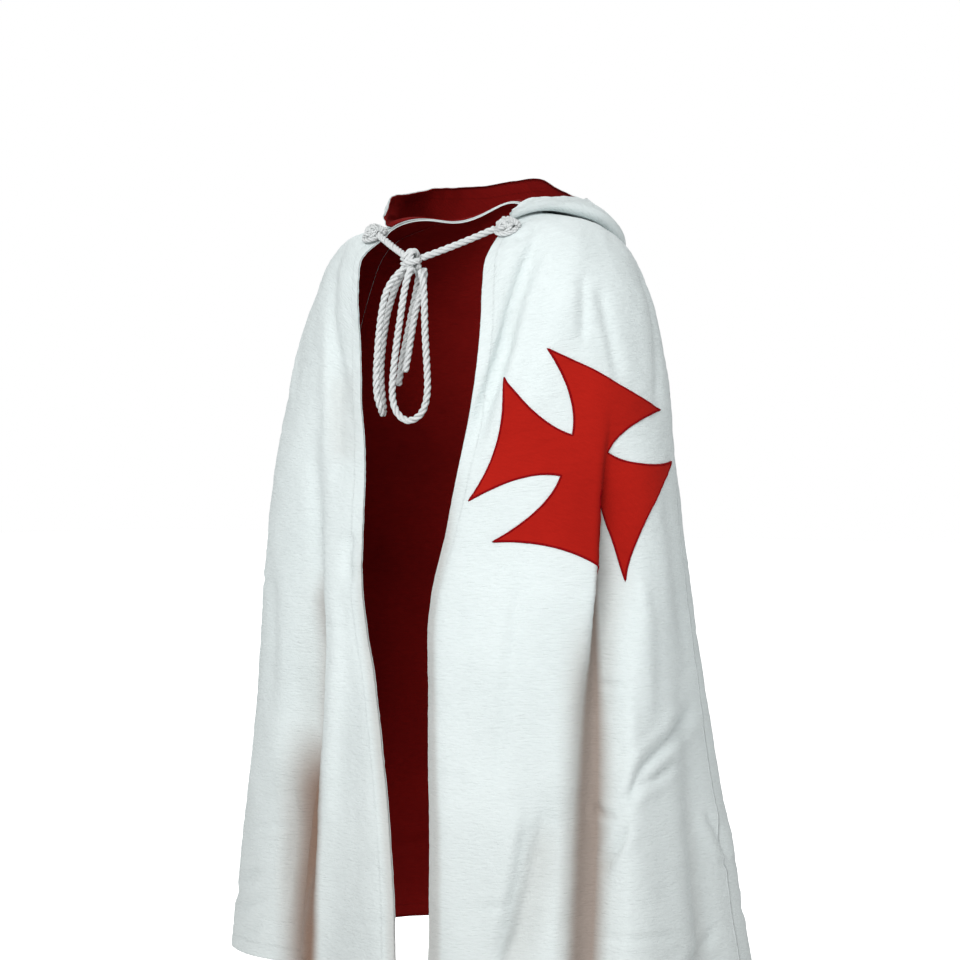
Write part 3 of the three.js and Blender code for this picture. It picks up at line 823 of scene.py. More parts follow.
def make_crinkle_group() -> bpy.types.NodeTree:
    """Build the crinkled slub weave, with creases that were pressed into it in places.

    Returns:
        A group that gives a height and a tone for coordinates along the cloth in metres.
    """
    crease_cells, crease_bend = 7.5, (0.09, 0.09, 0.0)
    group = GroupMaker("crinkle_weave", {"Cloth": None, "Rib Height": 1.0, "Thread Height": 0.3,
                                         "Crease Height": 2.0}, ("Height", "Tone"))
    cloth = group.take("Cloth")
    bend = group.node("TexNoise", {"Scale": 9.0, "Detail": 2.0, "Vector": cloth})
    bent = group.sums("MULTIPLY_ADD", bend.outputs["Color"], crease_bend, cloth, kind="VectorMath")
    cells = group.node("TexVoronoi", {"Scale": crease_cells, "Vector": bent}, feature="DISTANCE_TO_EDGE",
                       voronoi_dimensions="2D")
    pressed = group.sums("POWER", group.sums("MULTIPLY", cells.outputs["Distance"], 1.4), 0.62)
    patches = group.noise(cloth, (5.0, 4.0, 1.0), 1.0)
    shown = group.node("MapRange", {"From Min": 0.46, "From Max": 0.66, "Value": patches}).outputs["Result"]
    creased = group.sums("MULTIPLY", group.sums("MULTIPLY", pressed, shown), group.take("Crease Height"))
    ribs = group.noise(cloth, (70.0, 330.0, 1.0), 3.0)
    crinkle = group.noise(cloth, (150.0, 260.0, 1.0))
    slub = group.noise(cloth, (60.0, 900.0, 1.0))
    thread = group.noise(cloth, (1500.0, 1500.0, 1.0), 1.0)
    ribbed = group.sums("MULTIPLY", ribs, group.take("Rib Height"))
    slubbed = group.sums("MULTIPLY_ADD", slub, 0.35, group.sums("MULTIPLY_ADD", crinkle, 0.6, ribbed))
    woven = group.sums("ADD", slubbed, group.sums("MULTIPLY", thread, group.take("Thread Height")))
    group.give("Height", group.sums("ADD", woven, creased))
    group.give("Tone", group.sums("MULTIPLY_ADD", slub, 0.5, group.sums("MULTIPLY", ribs, 0.5)))
    return group.tree


def make_soil_group() -> bpy.types.NodeTree:
    """Build the slow change of colour over worn cloth.

    Returns:
        A group that gives a share for coordinates along the cloth in metres.
    """
    group = GroupMaker("handled_cloth", {"Cloth": None, "Patch Size": 0.2}, ("Share",))
    scale = group.sums("DIVIDE", 1.0, group.take("Patch Size"))
    patches = group.node("TexNoise", {"Detail": 3.0, "Scale": scale, "Vector": group.take("Cloth")})
    ramp = group.node("MapRange", {"From Min": 0.35, "From Max": 0.7, "Value": patches.outputs["Fac"]})
    group.give("Share", ramp.outputs["Result"])
    return group.tree


def make_hem_group() -> bpy.types.NodeTree:
    """Build the row of stitches that holds a turned hem.

    Returns:
        A group that gives a height for the distances from the two hems, in metres.
    """
    half_row, stitch_share, fold_height = 0.0011, 0.72, 0.8
    group = GroupMaker("hem_stitches", {"Border": None, "Hem Width": 0.02, "Stitch Length": 0.004},
                       ("Height",))
    width = group.take("Hem Width")
    split = group.node("SeparateXYZ", {"Vector": group.take("Border")}).outputs
    rows = []
    for near, other in (("X", "Y"), ("Y", "X")):
        away = group.sums("ABSOLUTE", group.sums("SUBTRACT", split[near], width))
        beat = group.sums("FRACT", group.sums("DIVIDE", split[other], group.take("Stitch Length")))
        rows.append(group.sums("MULTIPLY", group.sums("LESS_THAN", away, half_row),
                               group.sums("LESS_THAN", beat, stitch_share)))
    folded = group.sums("LESS_THAN", group.sums("MINIMUM", split["X"], split["Y"]), width)
    stitched = group.sums("MAXIMUM", *rows)
    group.give("Height", group.sums("SUBTRACT", group.sums("MULTIPLY", folded, fold_height), stitched))
    return group.tree


def make_yarn_group() -> bpy.types.NodeTree:
    """Build the yarns that lie across a strand or a stitched edge.

    Returns:
        A group that gives a height and a tone for coordinates round and along, in metres.
    """
    group = GroupMaker("laid_yarns", {"Along": None, "Yarns per Metre": 900.0}, ("Height", "Tone"))
    split = group.node("SeparateXYZ", {"Vector": group.take("Along")}).outputs
    slanted = group.sums("ADD", split["Y"], split["X"])
    beat = group.sums("MULTIPLY", slanted, group.take("Yarns per Metre"))
    wave = group.sums("SINE", group.sums("MULTIPLY", beat, 2 * math.pi))
    fuzz = group.noise(group.take("Along"), (900.0, 420.0, 1.0), 3.0)
    group.give("Height", group.sums("MULTIPLY_ADD", wave, 0.5, fuzz))
    group.give("Tone", fuzz)
    return group.tree


class MaterialMaker(NodeMaker):
    """Builds one material round its Principled shader."""

    def __init__(self, name: str) -> None:
        """Start a material.

        Args:
            name: the material's name.
        """
        self.material = bpy.data.materials.new(name)
        self.material.use_nodes = True
        super().__init__(self.material.node_tree)

    def uv(self, name: str) -> bpy.types.NodeSocket:
        """Coordinates from a UV map."""
        return self.node("UVMap", uv_map=name).outputs["UV"]

    def two_tones(self, share: bpy.types.NodeSocket, low: tuple[float, tuple[float, float, float]],
                  high: tuple[float, tuple[float, float, float]]) -> bpy.types.NodeSocket:
        """Add a ramp between two colours.

        Args:
            share: where along the ramp.
            low: the first colour's place and the colour.
            high: the second's.

        Returns:
            The colour.
        """
        ramp = self.node("ValToRGB", {"Fac": share})
        for element, (place, colour) in zip(ramp.color_ramp.elements, (low, high)):
            element.position = place
            element.color = (*colour, 1)
        return ramp.outputs["Color"]

    def finish(self, values: dict[str, Value]) -> bpy.types.Material:
        """Feed the Principled shader.

        Args:
            values: what feeds its inputs, by name.

        Returns:
            The material.
        """
        shader = self.tree.nodes["Principled BSDF"]
        for name, value in values.items():
            self.put(shader.inputs[name], value)
        return self.material


@dataclass(frozen=True)
class ClothFinish:
    """A woven cotton: two tones, a shade painted into its colour in the folds, crinkle, hem stitches and a
    soft surface.
    """

    name: str
    light: tuple[float, float, float]
    dark: tuple[float, float, float]
    rib_height: float
    bump: float
    # Colour of the shade painted into the cloth in the folds and beside rolled edges.
    painted_shade: tuple[float, float, float]
    creases: float = 2.0
    sheen: float = 0.1
    roughness: float = 0.95
    hem_width: float = 0.02
    soil: float = 0.45
    stitch_depth: float = 0.0006

    def make(self, groups: dict[str, bpy.types.NodeTree]) -> bpy.types.Material:
        """Build the material.

        Args:
            groups: the shared effects by name.

        Returns:
            The material.
        """
        made = MaterialMaker(self.name)
        cloth = made.uv("cloth")
        crinkle = made.node("Group", {"Rib Height": self.rib_height, "Crease Height": self.creases,
                                      "Cloth": cloth}, node_tree=groups["crinkle"]).outputs
        soil = made.node("Group", {"Cloth": cloth}, node_tree=groups["soil"]).outputs["Share"]
        hem = made.node("Group", {"Hem Width": self.hem_width, "Border": made.uv("border")},
                        node_tree=groups["hem"]).outputs["Height"]
        share = made.sums("MULTIPLY_ADD", soil, self.soil, crinkle["Tone"])
        tone = made.two_tones(share, (0.2, self.light), (1.0, self.dark))
        # Painted shade: the colour is mixed towards the shade colour by the share in the "hollow" map.
        inside = made.node("SeparateXYZ", {"Vector": made.uv("hollow")}).outputs["X"]
        colour = made.node("Mix", {"Factor": inside, "A": tone, "B": (*self.painted_shade, 1)}, data_type="RGBA")
        woven = made.node("Bump", {"Strength": 1.0, "Distance": self.bump, "Height": crinkle["Height"]})
        stitched = made.node("Bump", {"Strength": 0.8, "Distance": self.stitch_depth, "Height": hem,
                                      "Normal": woven.outputs["Normal"]})
        return made.finish({
            "Base Color": colour.outputs["Result"], "Normal": stitched.outputs["Normal"],
            "Roughness": self.roughness, "Sheen Weight": self.sheen, "Sheen Roughness": 0.6,
            "Specular IOR Level": 0.1})


@dataclass(frozen=True)
class YarnFinish:
    """Laid yarns: rope strands or satin stitches."""

    name: str
    light: tuple[float, float, float]
    dark: tuple[float, float, float]
    yarns: float
    bump: float
    roughness: float = 0.85
    sheen: float = 0.2
    specular: float = 0.2

    def make(self, groups: dict[str, bpy.types.NodeTree]) -> bpy.types.Material:
        """Build the material.

        Args:
            groups: the shared effects by name.

        Returns:
            The material.
        """
        made = MaterialMaker(self.name)
        yarn = made.node("Group", {"Yarns per Metre": self.yarns, "Along": made.uv("cloth")},
                         node_tree=groups["yarn"]).outputs
        bump = made.node("Bump", {"Distance": self.bump, "Height": yarn["Height"]})
        return made.finish({
            "Base Color": made.two_tones(yarn["Tone"], (0.25, self.dark), (0.65, self.light)),
            "Normal": bump.outputs["Normal"], "Roughness": self.roughness, "Sheen Weight": self.sheen,
            "Specular IOR Level": self.specular})


class Finishes:
    """Every material of the cloak, built once."""

    def __init__(self) -> None:
        """Build the shared groups and the materials."""
        groups = {"crinkle": make_crinkle_group(), "soil": make_soil_group(), "hem": make_hem_group(),
                  "yarn": make_yarn_group()}
        # The last colour given to each cloth is the shade painted into it in the folds.
        self.cloak = ClothFinish(
            "cloak_cloth", light=(0.81, 0.885, 0.885), dark=(0.70, 0.77, 0.77), rib_height=1.0, bump=0.0014,
            painted_shade=(0.24, 0.15, 0.105), creases=2.4).make(groups)
        self.lining = ClothFinish(
            "lining_cloth", light=(0.27, 0.008, 0.006), dark=(0.17, 0.004, 0.004), rib_height=0.5,
            bump=0.0009, painted_shade=(0.17, 0.004, 0.004), sheen=0.0).make(groups)
        self.cross = ClothFinish(
            "cross_cloth", light=(0.44, 0.013, 0.007), dark=(0.35, 0.009, 0.005), rib_height=0.4,
            bump=0.0006, painted_shade=(0.20, 0.003, 0.002), creases=1.0, sheen=0.0, hem_width=-1.0).make(groups)
        self.satin = YarnFinish(
            "cross_stitching", light=(0.30, 0.004, 0.006), dark=(0.20, 0.002, 0.004), yarns=800.0,
            bump=0.0003, sheen=0.0, specular=0.03).make(groups)
        self.rope = YarnFinish(
            "cotton_rope", light=(0.85, 0.88, 0.88), dark=(0.70, 0.735, 0.735), yarns=620.0,
            bump=0.0006).make(groups)


# ---------- Meshes ----------
class ShellBuilder:
    """Closed shells of cloth from grids of points, and tubes along routes."""

    @staticmethod
    def object_from(name: str, points: np.ndarray, quads: np.ndarray, loops: dict[str, np.ndarray],
                    materials: Sequence[bpy.types.Material],
                    kinds: Optional[np.ndarray] = None) -> bpy.types.Object:
        """Make a smooth mesh object.

        Args:
            name: the piece's name.
            points: its vertices, in metres.
            quads: four vertex numbers to each face.
            loops: UV maps, one pair to each vertex.
            materials: its materials.
            kinds: which material each face has, or None.

        Returns:
            The object, linked to the scene.
        """
        mesh = bpy.data.meshes.new(name)
        mesh.vertices.add(len(points))
        mesh.vertices.foreach_set("co", points.astype(np.float32).ravel())
        mesh.loops.add(quads.size)
        mesh.loops.foreach_set("vertex_index", quads.astype(np.int32).ravel())
        mesh.polygons.add(len(quads))
        mesh.polygons.foreach_set("loop_start", (np.arange(len(quads)) * 4).astype(np.int32))
        mesh.polygons.foreach_set("use_smooth", np.ones(len(quads), bool))
        for material in materials:
            mesh.materials.append(material)
        if kinds is not None:
            mesh.polygons.foreach_set("material_index", kinds.astype(np.int32))
        mesh.update(calc_edges=True)
        for map_name, values in loops.items():
            layer = mesh.uv_layers.new(name=map_name)
            layer.uv.foreach_set("vector", values[quads.ravel()].astype(np.float32).ravel())
        mesh.validate()
        made = bpy.data.objects.new(name, mesh)
        bpy.context.scene.collection.objects.link(made)
        return made

    @staticmethod
    def shell(name: str, outer: np.ndarray, inner: np.ndarray, cloth: np.ndarray, border: np.ndarray,
              hollow: np.ndarray, materials: Sequence[bpy.types.Material]) -> bpy.types.Object:
        """Close two grids of points into a cloth with rounded borders.

        Args:
            name: the piece's name.
            outer: rows and columns of points, rows downward and columns to the left seen from outside.
            inner: the same grid on the inner face.
            cloth: coordinates along the cloth of each grid point, in metres.
            border: distances from the two hems, in metres.
            hollow: how strongly shade is painted into the colour at each grid point, from 0 to 1.
            materials: the outer face's material and the inner face's.

        Returns:
            The object.
        """
        rows, columns = outer.shape[:2]
        count = rows * columns
        number = np.arange(count).reshape(rows, columns)
        a, b = number[:-1, :-1], number[1:, :-1]
        c, d = number[1:, 1:], number[:-1, 1:]
        face = np.stack([a, b, c, d], -1).reshape(-1, 4)
        back = np.stack([a, d, c, b], -1).reshape(-1, 4) + count
        rim = np.concatenate([number[:, 0], number[-1, 1:], number[-2::-1, -1], number[0, -2:0:-1]])
        after = np.roll(rim, -1)
        middle = (outer.reshape(-1, 3)[rim] + inner.reshape(-1, 3)[rim]) / 2
        wall = np.arange(len(rim)) + 2 * count
        wall_after = np.roll(wall, -1)
        near = np.stack([rim, wall, wall_after, after], -1)[:, ::-1]
        far = np.stack([wall, rim + count, after + count, wall_after], -1)[:, ::-1]
        points = np.concatenate([outer.reshape(-1, 3), inner.reshape(-1, 3), middle])
        quads = np.concatenate([face, back, near, far])
        maps = {}
        deep = np.stack([hollow, 0 * hollow], -1)
        for map_name, values in (("cloth", cloth), ("border", border), ("hollow", deep)):
            flat = values.reshape(-1, 2)
            maps[map_name] = np.concatenate([flat, flat, flat[rim]])
        kinds = np.concatenate([np.zeros(len(face)), np.ones(len(back)), np.zeros(len(near)),
                                np.zeros(len(far))])
        return ShellBuilder.object_from(name, points, quads, maps, materials, kinds)

    @staticmethod
    def smooth_line(points: np.ndarray, spacing: float) -> np.ndarray:
        """Points at even steps along a smooth curve.

        Args:
            points: what the curve passes through.
            spacing: the steps' length, in metres.

        Returns:
            Points along the curve.
        """
        ends = np.concatenate([[2 * points[0] - points[1]], points, [2 * points[-1] - points[-2]]])
        share = np.linspace(0, 1, 24, endpoint=False)[:, None]
        pieces = []
        for p0, p1, p2, p3 in zip(ends[:-3], ends[1:-2], ends[2:-1], ends[3:]):
            pieces.append(0.5 * (2 * p1 + (p2 - p0) * share + (2 * p0 - 5 * p1 + 4 * p2 - p3) * share ** 2
                                 + (3 * p1 - p0 - 3 * p2 + p3) * share ** 3))
        dense = np.concatenate([*pieces, points[-1:]])
        run = np.concatenate([[0], np.cumsum(np.linalg.norm(np.diff(dense, axis=0), axis=1))])
        steps = max(8, int(round(run[-1] / spacing)))
        wanted = np.linspace(0, run[-1], steps + 1)
        return np.stack([np.interp(wanted, run, dense[:, k]) for k in range(3)], -1)


@dataclass(frozen=True)
class TwistedRope:
    """Three-strand cotton rope."""

    radius: float = 0.005
    lay: float = 0.030
    sides: int = 30
    spacing: float = 0.0014
    strand: float = 0.54
    offset: float = 0.46
    end_shares: tuple[float, float] = (0.55, 0.88)

    @staticmethod
    def within_strand(angles: np.ndarray) -> np.ndarray:
        """Angles from the middle of the nearest of three strands."""
        third = 2 * math.pi / 3
        return (angles + third / 2) % third - third / 2

    def outline(self, angles: np.ndarray) -> np.ndarray:
        """Radius of the three strands' joint outline, as a share of the rope's."""
        away = self.within_strand(angles)
        return self.offset * np.cos(away) + np.sqrt(self.strand ** 2 - (self.offset * np.sin(away)) ** 2)

    def build(self, name: str, route: np.ndarray,
              material: bpy.types.Material) -> tuple[bpy.types.Object, np.ndarray]:
        """Lay the rope along a route.

        Args:
            name: the piece's name.
            route: the points that it passes through, in metres.
            material: its finish.

        Returns:
            The rope, and the centres of its rings.
        """
        line = ShellBuilder.smooth_line(route, self.spacing)
        ahead = unit(np.gradient(line, axis=0))
        side = np.cross(ahead[0], [0.0, 0.0, 1.0])
        if np.linalg.norm(side) < 0.2:
            side = np.cross(ahead[0], [1.0, 0.0, 0.0])
        sides = [unit(side)]
        for i in range(1, len(line)):
            carried = sides[-1] - ahead[i] * np.dot(sides[-1], ahead[i])
            sides.append(unit(carried))
        across = np.array(sides)
        over = np.cross(ahead, across)
        run = np.concatenate([[0], np.cumsum(np.linalg.norm(np.diff(line, axis=0), axis=1))])
        angle = np.linspace(0, 2 * math.pi, self.sides, endpoint=False)
        twist = 2 * math.pi * run / self.lay
        shape = self.outline(angle) * self.radius
        turned = angle[None, :] + twist[:, None]
        ends = np.ones(len(line))
        ends[[0, -1]], ends[[1, -2]] = self.end_shares
        reach = shape[None, :] * ends[:, None]
        rings = (line[:, None] + reach[..., None] * (np.cos(turned)[..., None] * across[:, None]
                                                     + np.sin(turned)[..., None] * over[:, None]))
        count = len(line) * self.sides
        number = np.arange(count).reshape(len(line), self.sides)
        beside = np.roll(number, -1, 1)
        wall = np.stack([number[:-1], beside[:-1], beside[1:], number[1:]], -1).reshape(-1, 4)
        caps = []
        for ring, flip in ((number[0], True), (number[-1], False)):
            half = self.sides // 2
            for k in range(half - 1):
                quad = [ring[k], ring[k + 1], ring[self.sides - 2 - k], ring[self.sides - 1 - k]]
                caps.append(quad[::-1] if flip else quad)
        quads = np.concatenate([wall, np.array(caps)])
        within = self.within_strand(angle) * self.radius * 0.8
        uv = np.stack(np.broadcast_arrays(within[None, :], run[:, None]), -1).reshape(-1, 2)
        piece = ShellBuilder.object_from(name, rings.reshape(-1, 3), quads, {"cloth": uv}, [material])
        return piece, line


def dress(piece: bpy.types.Object, slot: str, *nodes: str) -> bpy.types.Object:
    """Ride a piece on the body, hide the parts of the nodes that it stands for, and log its faces.

    Args:
        piece: the piece.
        slot: its material slot; not used.
        nodes: the nodes that it stands for, if any.

    Returns:
        The piece.
    """
    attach(piece, BODY)
    if nodes:
        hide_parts(*nodes)
    LOG.info("%s: %d faces", piece.name, len(piece.data.polygons))
    return piece


# ---------- Rope ----------
def taut_route(start: Sequence[float], end: Sequence[float], sag: float) -> list[list[float]]:
    """Places along a rope that is pulled taut.

    Args:
        start: where it leaves its button, in millimetres.
        end: where it meets the knot.
        sag: how far its middle hangs.

    Returns:
        Places at even steps.
    """
    run = np.linspace(0, 1, 15)[:, None]
    hang = np.array([0, 0, 4 * sag]) * run * (1 - run)
    return (mix(np.array(start), np.array(end), run) - hang).tolist()


ROUTES = {
    "tie_left": taut_route((102, -105.8, -46.8), (13, -146, -82.5), 1),
    "tie_right": taut_route((-105.3, -98.5, -42.1), (-16.2, -145.1, -81.4), 1.15),
    "bow_loop_right": [
        [-9.1, -163.9, -99.4], [-16, -170, -108.5], [-24, -174, -120], [-31, -176, -135], [-36, -176, -152],
        [-40, -176, -172], [-43.5, -175.5, -194], [-46, -175, -216], [-48, -174.5, -238],
        [-49, -173.5, -258], [-48.5, -171.5, -276], [-48, -165, -291], [-52, -155.5, -297.5],
        [-58.5, -146, -292], [-64, -141, -279], [-67, -140, -262], [-68, -140, -243], [-67, -140.5, -222],
        [-64, -141, -200], [-60, -141.5, -178], [-54, -142.5, -157], [-46, -144, -138],
        [-37, -146.5, -122], [-27.5, -149, -110], [-18.5, -151.5, -101],
    ],
    "bow_loop_left": [
        [4.5, -165.2, -100.6], [3, -168, -109], [1, -170, -119], [-2, -171, -133], [-5.5, -171, -150],
        [-10, -170, -170], [-15, -169, -192], [-19.5, -168, -214], [-23.5, -167, -236],
        [-26.5, -166, -257], [-27, -165, -276], [-23, -164, -292], [-14, -163, -303], [-2, -162, -308],
        [11, -161, -305], [21.5, -160, -296], [27.5, -159, -281], [29, -158, -262], [28, -157.5, -241],
        [26, -157, -219], [24, -156.5, -197], [22.5, -156, -175], [21.5, -155.5, -153],
        [20.5, -155, -134], [18.5, -154.8, -118], [14.5, -154.5, -104],
    ],
    "free_end_right": [
        [-2.6, -136.9, -101.2], [-4.6, -135.8, -110], [-7, -135.2, -119], [-9.4, -135, -129],
        [-12, -135, -139], [-14.4, -135.3, -149], [-16.8, -136, -159.5], [-19, -136.6, -170],
        [-21.3, -137.1, -181], [-23.5, -137.9, -192], [-25.8, -138.7, -203], [-28, -139.6, -214],
        [-30.3, -140.4, -226], [-32.8, -141.1, -242], [-35.5, -142, -259],
    ],
    "free_end_left": [
        [10.3, -141.9, -101], [10.3, -141.7, -109], [9, -142.5, -118], [7.2, -144, -127],
        [5.2, -145.6, -136], [3.2, -147, -145], [1.4, -148.4, -154], [-0.4, -149.3, -163],
        [-2.3, -149.8, -173], [-4.2, -150.2, -183], [-6.2, -150.6, -194], [-8.3, -150.9, -206],
        [-10.6, -151.2, -218], [-12.8, -151.6, -229], [-15, -152, -241],
    ],
}


class FarEnd(Enum):
    """What is on the far end of a stretch of rope."""

    KNOT = "knot"
    BARE = "bare"


@dataclass(frozen=True)
class TieRope:
    """The rope that ties the cloak at the neck: its stretches, knot and coiled buttons."""

    rope: TwistedRope = TwistedRope()
    button_rope: TwistedRope = TwistedRope(radius=0.0036, lay=0.021, sides=24, spacing=0.0012)
    knot_rope: TwistedRope = TwistedRope(radius=0.0046, lay=0.028, sides=24, spacing=0.0013)
    knot_at: tuple[float, float, float] = (-2.0, -152.0, -88.0)
    knot_turns: float = 1.9
    tuck: float = 4.0
    button_radius: float = 14.6
    button_height: float = 10.0
    button_weave: float = 3.4
    button_dome: float = 4.2
    button_turns: int = 3
    button_bights: int = 5
    ring_radius: float = 16.2
    ring_height: float = 4.2
    ring_share: float = 0.985
    left_button: tuple[float, float] = (38.0, 52.0)
    right_button: tuple[float, float] = (36.0, -55.0)

    def tucked(self, name: str) -> np.ndarray:
        """Run a stretch's route on into the knot and the button that hold it.

        Args:
            name: the stretch's node.

        Returns:
            Places in metres.
        """
        route = np.array(ROUTES[name]) * MM
        route[0] += unit(route[0] - route[1]) * self.tuck * MM
        if not name.startswith("free_end"):
            route[-1] += unit(route[-1] - route[-2]) * self.tuck * MM
        return route

    def stretches(self, material: bpy.types.Material) -> None:
        """Lay the six stretches, each in place of its node.

        Args:
            material: the rope's finish.
        """
        for name in ROUTES:
            route = self.tucked(name)
            piece, line = self.rope.build(name + "_rope", route, material)
            dress(piece, "cotton_rope", name)

    def button(self, name: str, down: float, azimuth: float, material: bpy.types.Material) -> None:
        """Coil one rope button.

        Args:
            name: the button's node.
            down: its place down the cloth, in millimetres.
            azimuth: its place round it, in degrees.
            material: the rope's finish.
        """
        place, turn = np.array(down), np.array(azimuth)
        axis = FORM.normal(place, turn)
        foot = FORM.base(place, turn) + axis * 0.5 * MM
        across = unit(np.cross([0.0, 0.0, 1.0], axis))
        over = np.cross(axis, across)
        t = np.linspace(0, 2 * math.pi * self.button_turns, 150, endpoint=False)
        bight = t * self.button_bights / self.button_turns
        reach = self.button_radius * (0.62 + 0.38 * np.cos(bight)) * MM
        rise = (self.button_height + self.button_weave * np.sin(2 * bight)
                - self.button_dome * np.cos(bight)) * MM
        knotted = (foot + reach[:, None] * (np.cos(t)[:, None] * across + np.sin(t)[:, None] * over)
                   + rise[:, None] * axis)
        ring, _ = self.button_rope.build(name + "_crown", knotted[:-2], material)
        angle = np.linspace(0, 2 * math.pi * self.ring_share, 60)
        around = np.cos(angle)[:, None] * across + np.sin(angle)[:, None] * over
        coil = foot + (around * self.ring_radius + axis * self.ring_height) * MM
        base, _ = self.button_rope.build(name + "_ring", coil, material)
        dress(ring, "cotton_rope", name)
        dress(base, "cotton_rope")

    def knot(self, material: bpy.types.Material) -> None:
        """Wrap the knot between the two runs.

        Args:
            material: the rope's finish.
        """
        middle = np.array(self.knot_at) * MM
        angle = np.linspace(0, 2 * math.pi * self.knot_turns, 90)
        lead = angle / angle[-1] - 0.5
        wrap = np.stack([12 * lead + 1.5 * np.sin(angle), 10.2 * np.cos(angle), 13.5 * np.sin(angle)], -1)
        first, _ = self.knot_rope.build("tie_knot_wrap", middle + wrap * MM, material)
        slower = angle * 0.9
        cross = np.stack([11.8 * np.cos(slower), 8.55 * np.sin(slower) - 3.5, 14 * lead - 2], -1)
        second, _ = self.knot_rope.build("tie_knot_turn", middle + cross * MM, material)
        dress(first, "cotton_rope", "tie_knot")
        dress(second, "cotton_rope")

    def build(self, finishes: Finishes) -> None:
        """Make every piece of rope.

        Args:
            finishes: the cloak's materials.
        """
        self.stretches(finishes.rope)
        self.button("rope_button_left", *self.left_button, finishes.rope)
        self.button("rope_button_right", *self.right_button, finishes.rope)
        self.knot(finishes.rope)


# ---------- Panels ----------
@dataclass(frozen=True)
class Panel:
    """One cut piece of the cloak's body."""

    name: str
    start: Callable[[np.ndarray], np.ndarray]
    end: Callable[[np.ndarray], np.ndarray]
    rows: int
    columns: int
    flat: tuple[float, float]
    area: float
    front_start: bool = False
    front_end: bool = False
    deep_fold: bool = False
    thickness: float = 2.0
    crowd: float = 2.6
    crowd_reach: float = 4.0
    crowd_shift: float = 0.2

    def crowded(self, down: np.ndarray, azimuth: np.ndarray) -> np.ndarray:
        """Draw columns closer together round the deep fold.

        Args:
            down: lengths down the cloth, in millimetres.
            azimuth: evenly spread azimuths, in degrees.

        Returns:
            Azimuths with the same ends.
        """
        line = DEEP_FOLD.along("down", "azimuth", down)
        dense = np.linspace(0, 1, 1200)[None, :]
        along = mix(azimuth[:, :1], azimuth[:, -1:], dense)
        weight = 1 + self.crowd * np.exp(-((along - line + self.crowd_shift) / self.crowd_reach) ** 2)
        total = np.cumsum(weight, 1) - weight[:, :1]
        total = total / total[:, -1:]
        share = np.linspace(0, 1, azimuth.shape[1])
        return np.array([np.interp(share, row, places) for row, places in zip(total, along)])

    def build(self, finishes: Finishes) -> bpy.types.Object:
        """Make the panel.

        Args:
            finishes: the cloak's materials.

        Returns:
            The panel.
        """
        step = np.linspace(0, 1, self.rows + 1)
        down = (HEM_DOWN * mix(step, step ** 2, 0.25))[:, None]
        share = np.linspace(0, 1, self.columns + 1)[None, :]
        azimuth = mix(self.start(down), self.end(down), share)
        if self.deep_fold:
            azimuth = self.crowded(down, azimuth)
        down = np.broadcast_to(down, azimuth.shape)
        outer = CLOTH.point(down, azimuth)
        normals = CLOTH.normal(down, azimuth)
        inner = outer - normals * self.thickness * MM
        around = np.linalg.norm(np.diff(outer, axis=1), axis=2)
        run = np.concatenate([np.zeros((len(step), 1)), np.cumsum(around, 1)], 1)
        middle = run[:, [self.columns // 2]]
        cloth = np.stack([run - middle, down * MM], -1)
        edge = np.full(run.shape, FAR_FROM_HEM)
        if self.front_start:
            edge = np.minimum(edge, run)
        if self.front_end:
            edge = np.minimum(edge, run[:, -1:] - run)
        border = np.stack([edge, (HEM_DOWN - down) * MM], -1)
        # The shade painted into the colour at each grid point comes from CLOTH.hollow.
        piece = ShellBuilder.shell(self.name + "_cloth", outer, inner, cloth, border,
                                   CLOTH.hollow(down, azimuth), [finishes.cloak, finishes.lining])
        dress(piece, "cloak_cloth", self.name)
        return piece


def seam_turn(down: np.ndarray, azimuth: float) -> np.ndarray:
    """Half the seam's gap as an angle, in degrees."""
    return np.degrees((SEAM_GAP / 2 + 0.02) / FORM.ring_radius(down, np.full(down.shape, azimuth)))


PANELS = (
    Panel("front_left_panel", lambda d: EDGES.along("down", "left", d),
          lambda d: SIDE_SEAM - seam_turn(d, SIDE_SEAM), 250, 185, (0.66, 1.17), 0.53, front_start=True,
          deep_fold=True),
    Panel("back_panel", lambda d: SIDE_SEAM + seam_turn(d, SIDE_SEAM),
          lambda d: 360 - SIDE_SEAM - seam_turn(d, -SIDE_SEAM), 210, 210, (1.16, 1.18), 0.92),
    Panel("front_right_panel", lambda d: seam_turn(d, -SIDE_SEAM) - SIDE_SEAM,
          lambda d: EDGES.along("down", "right", d), 240, 160, (0.72, 1.17), 0.52, front_end=True),
)


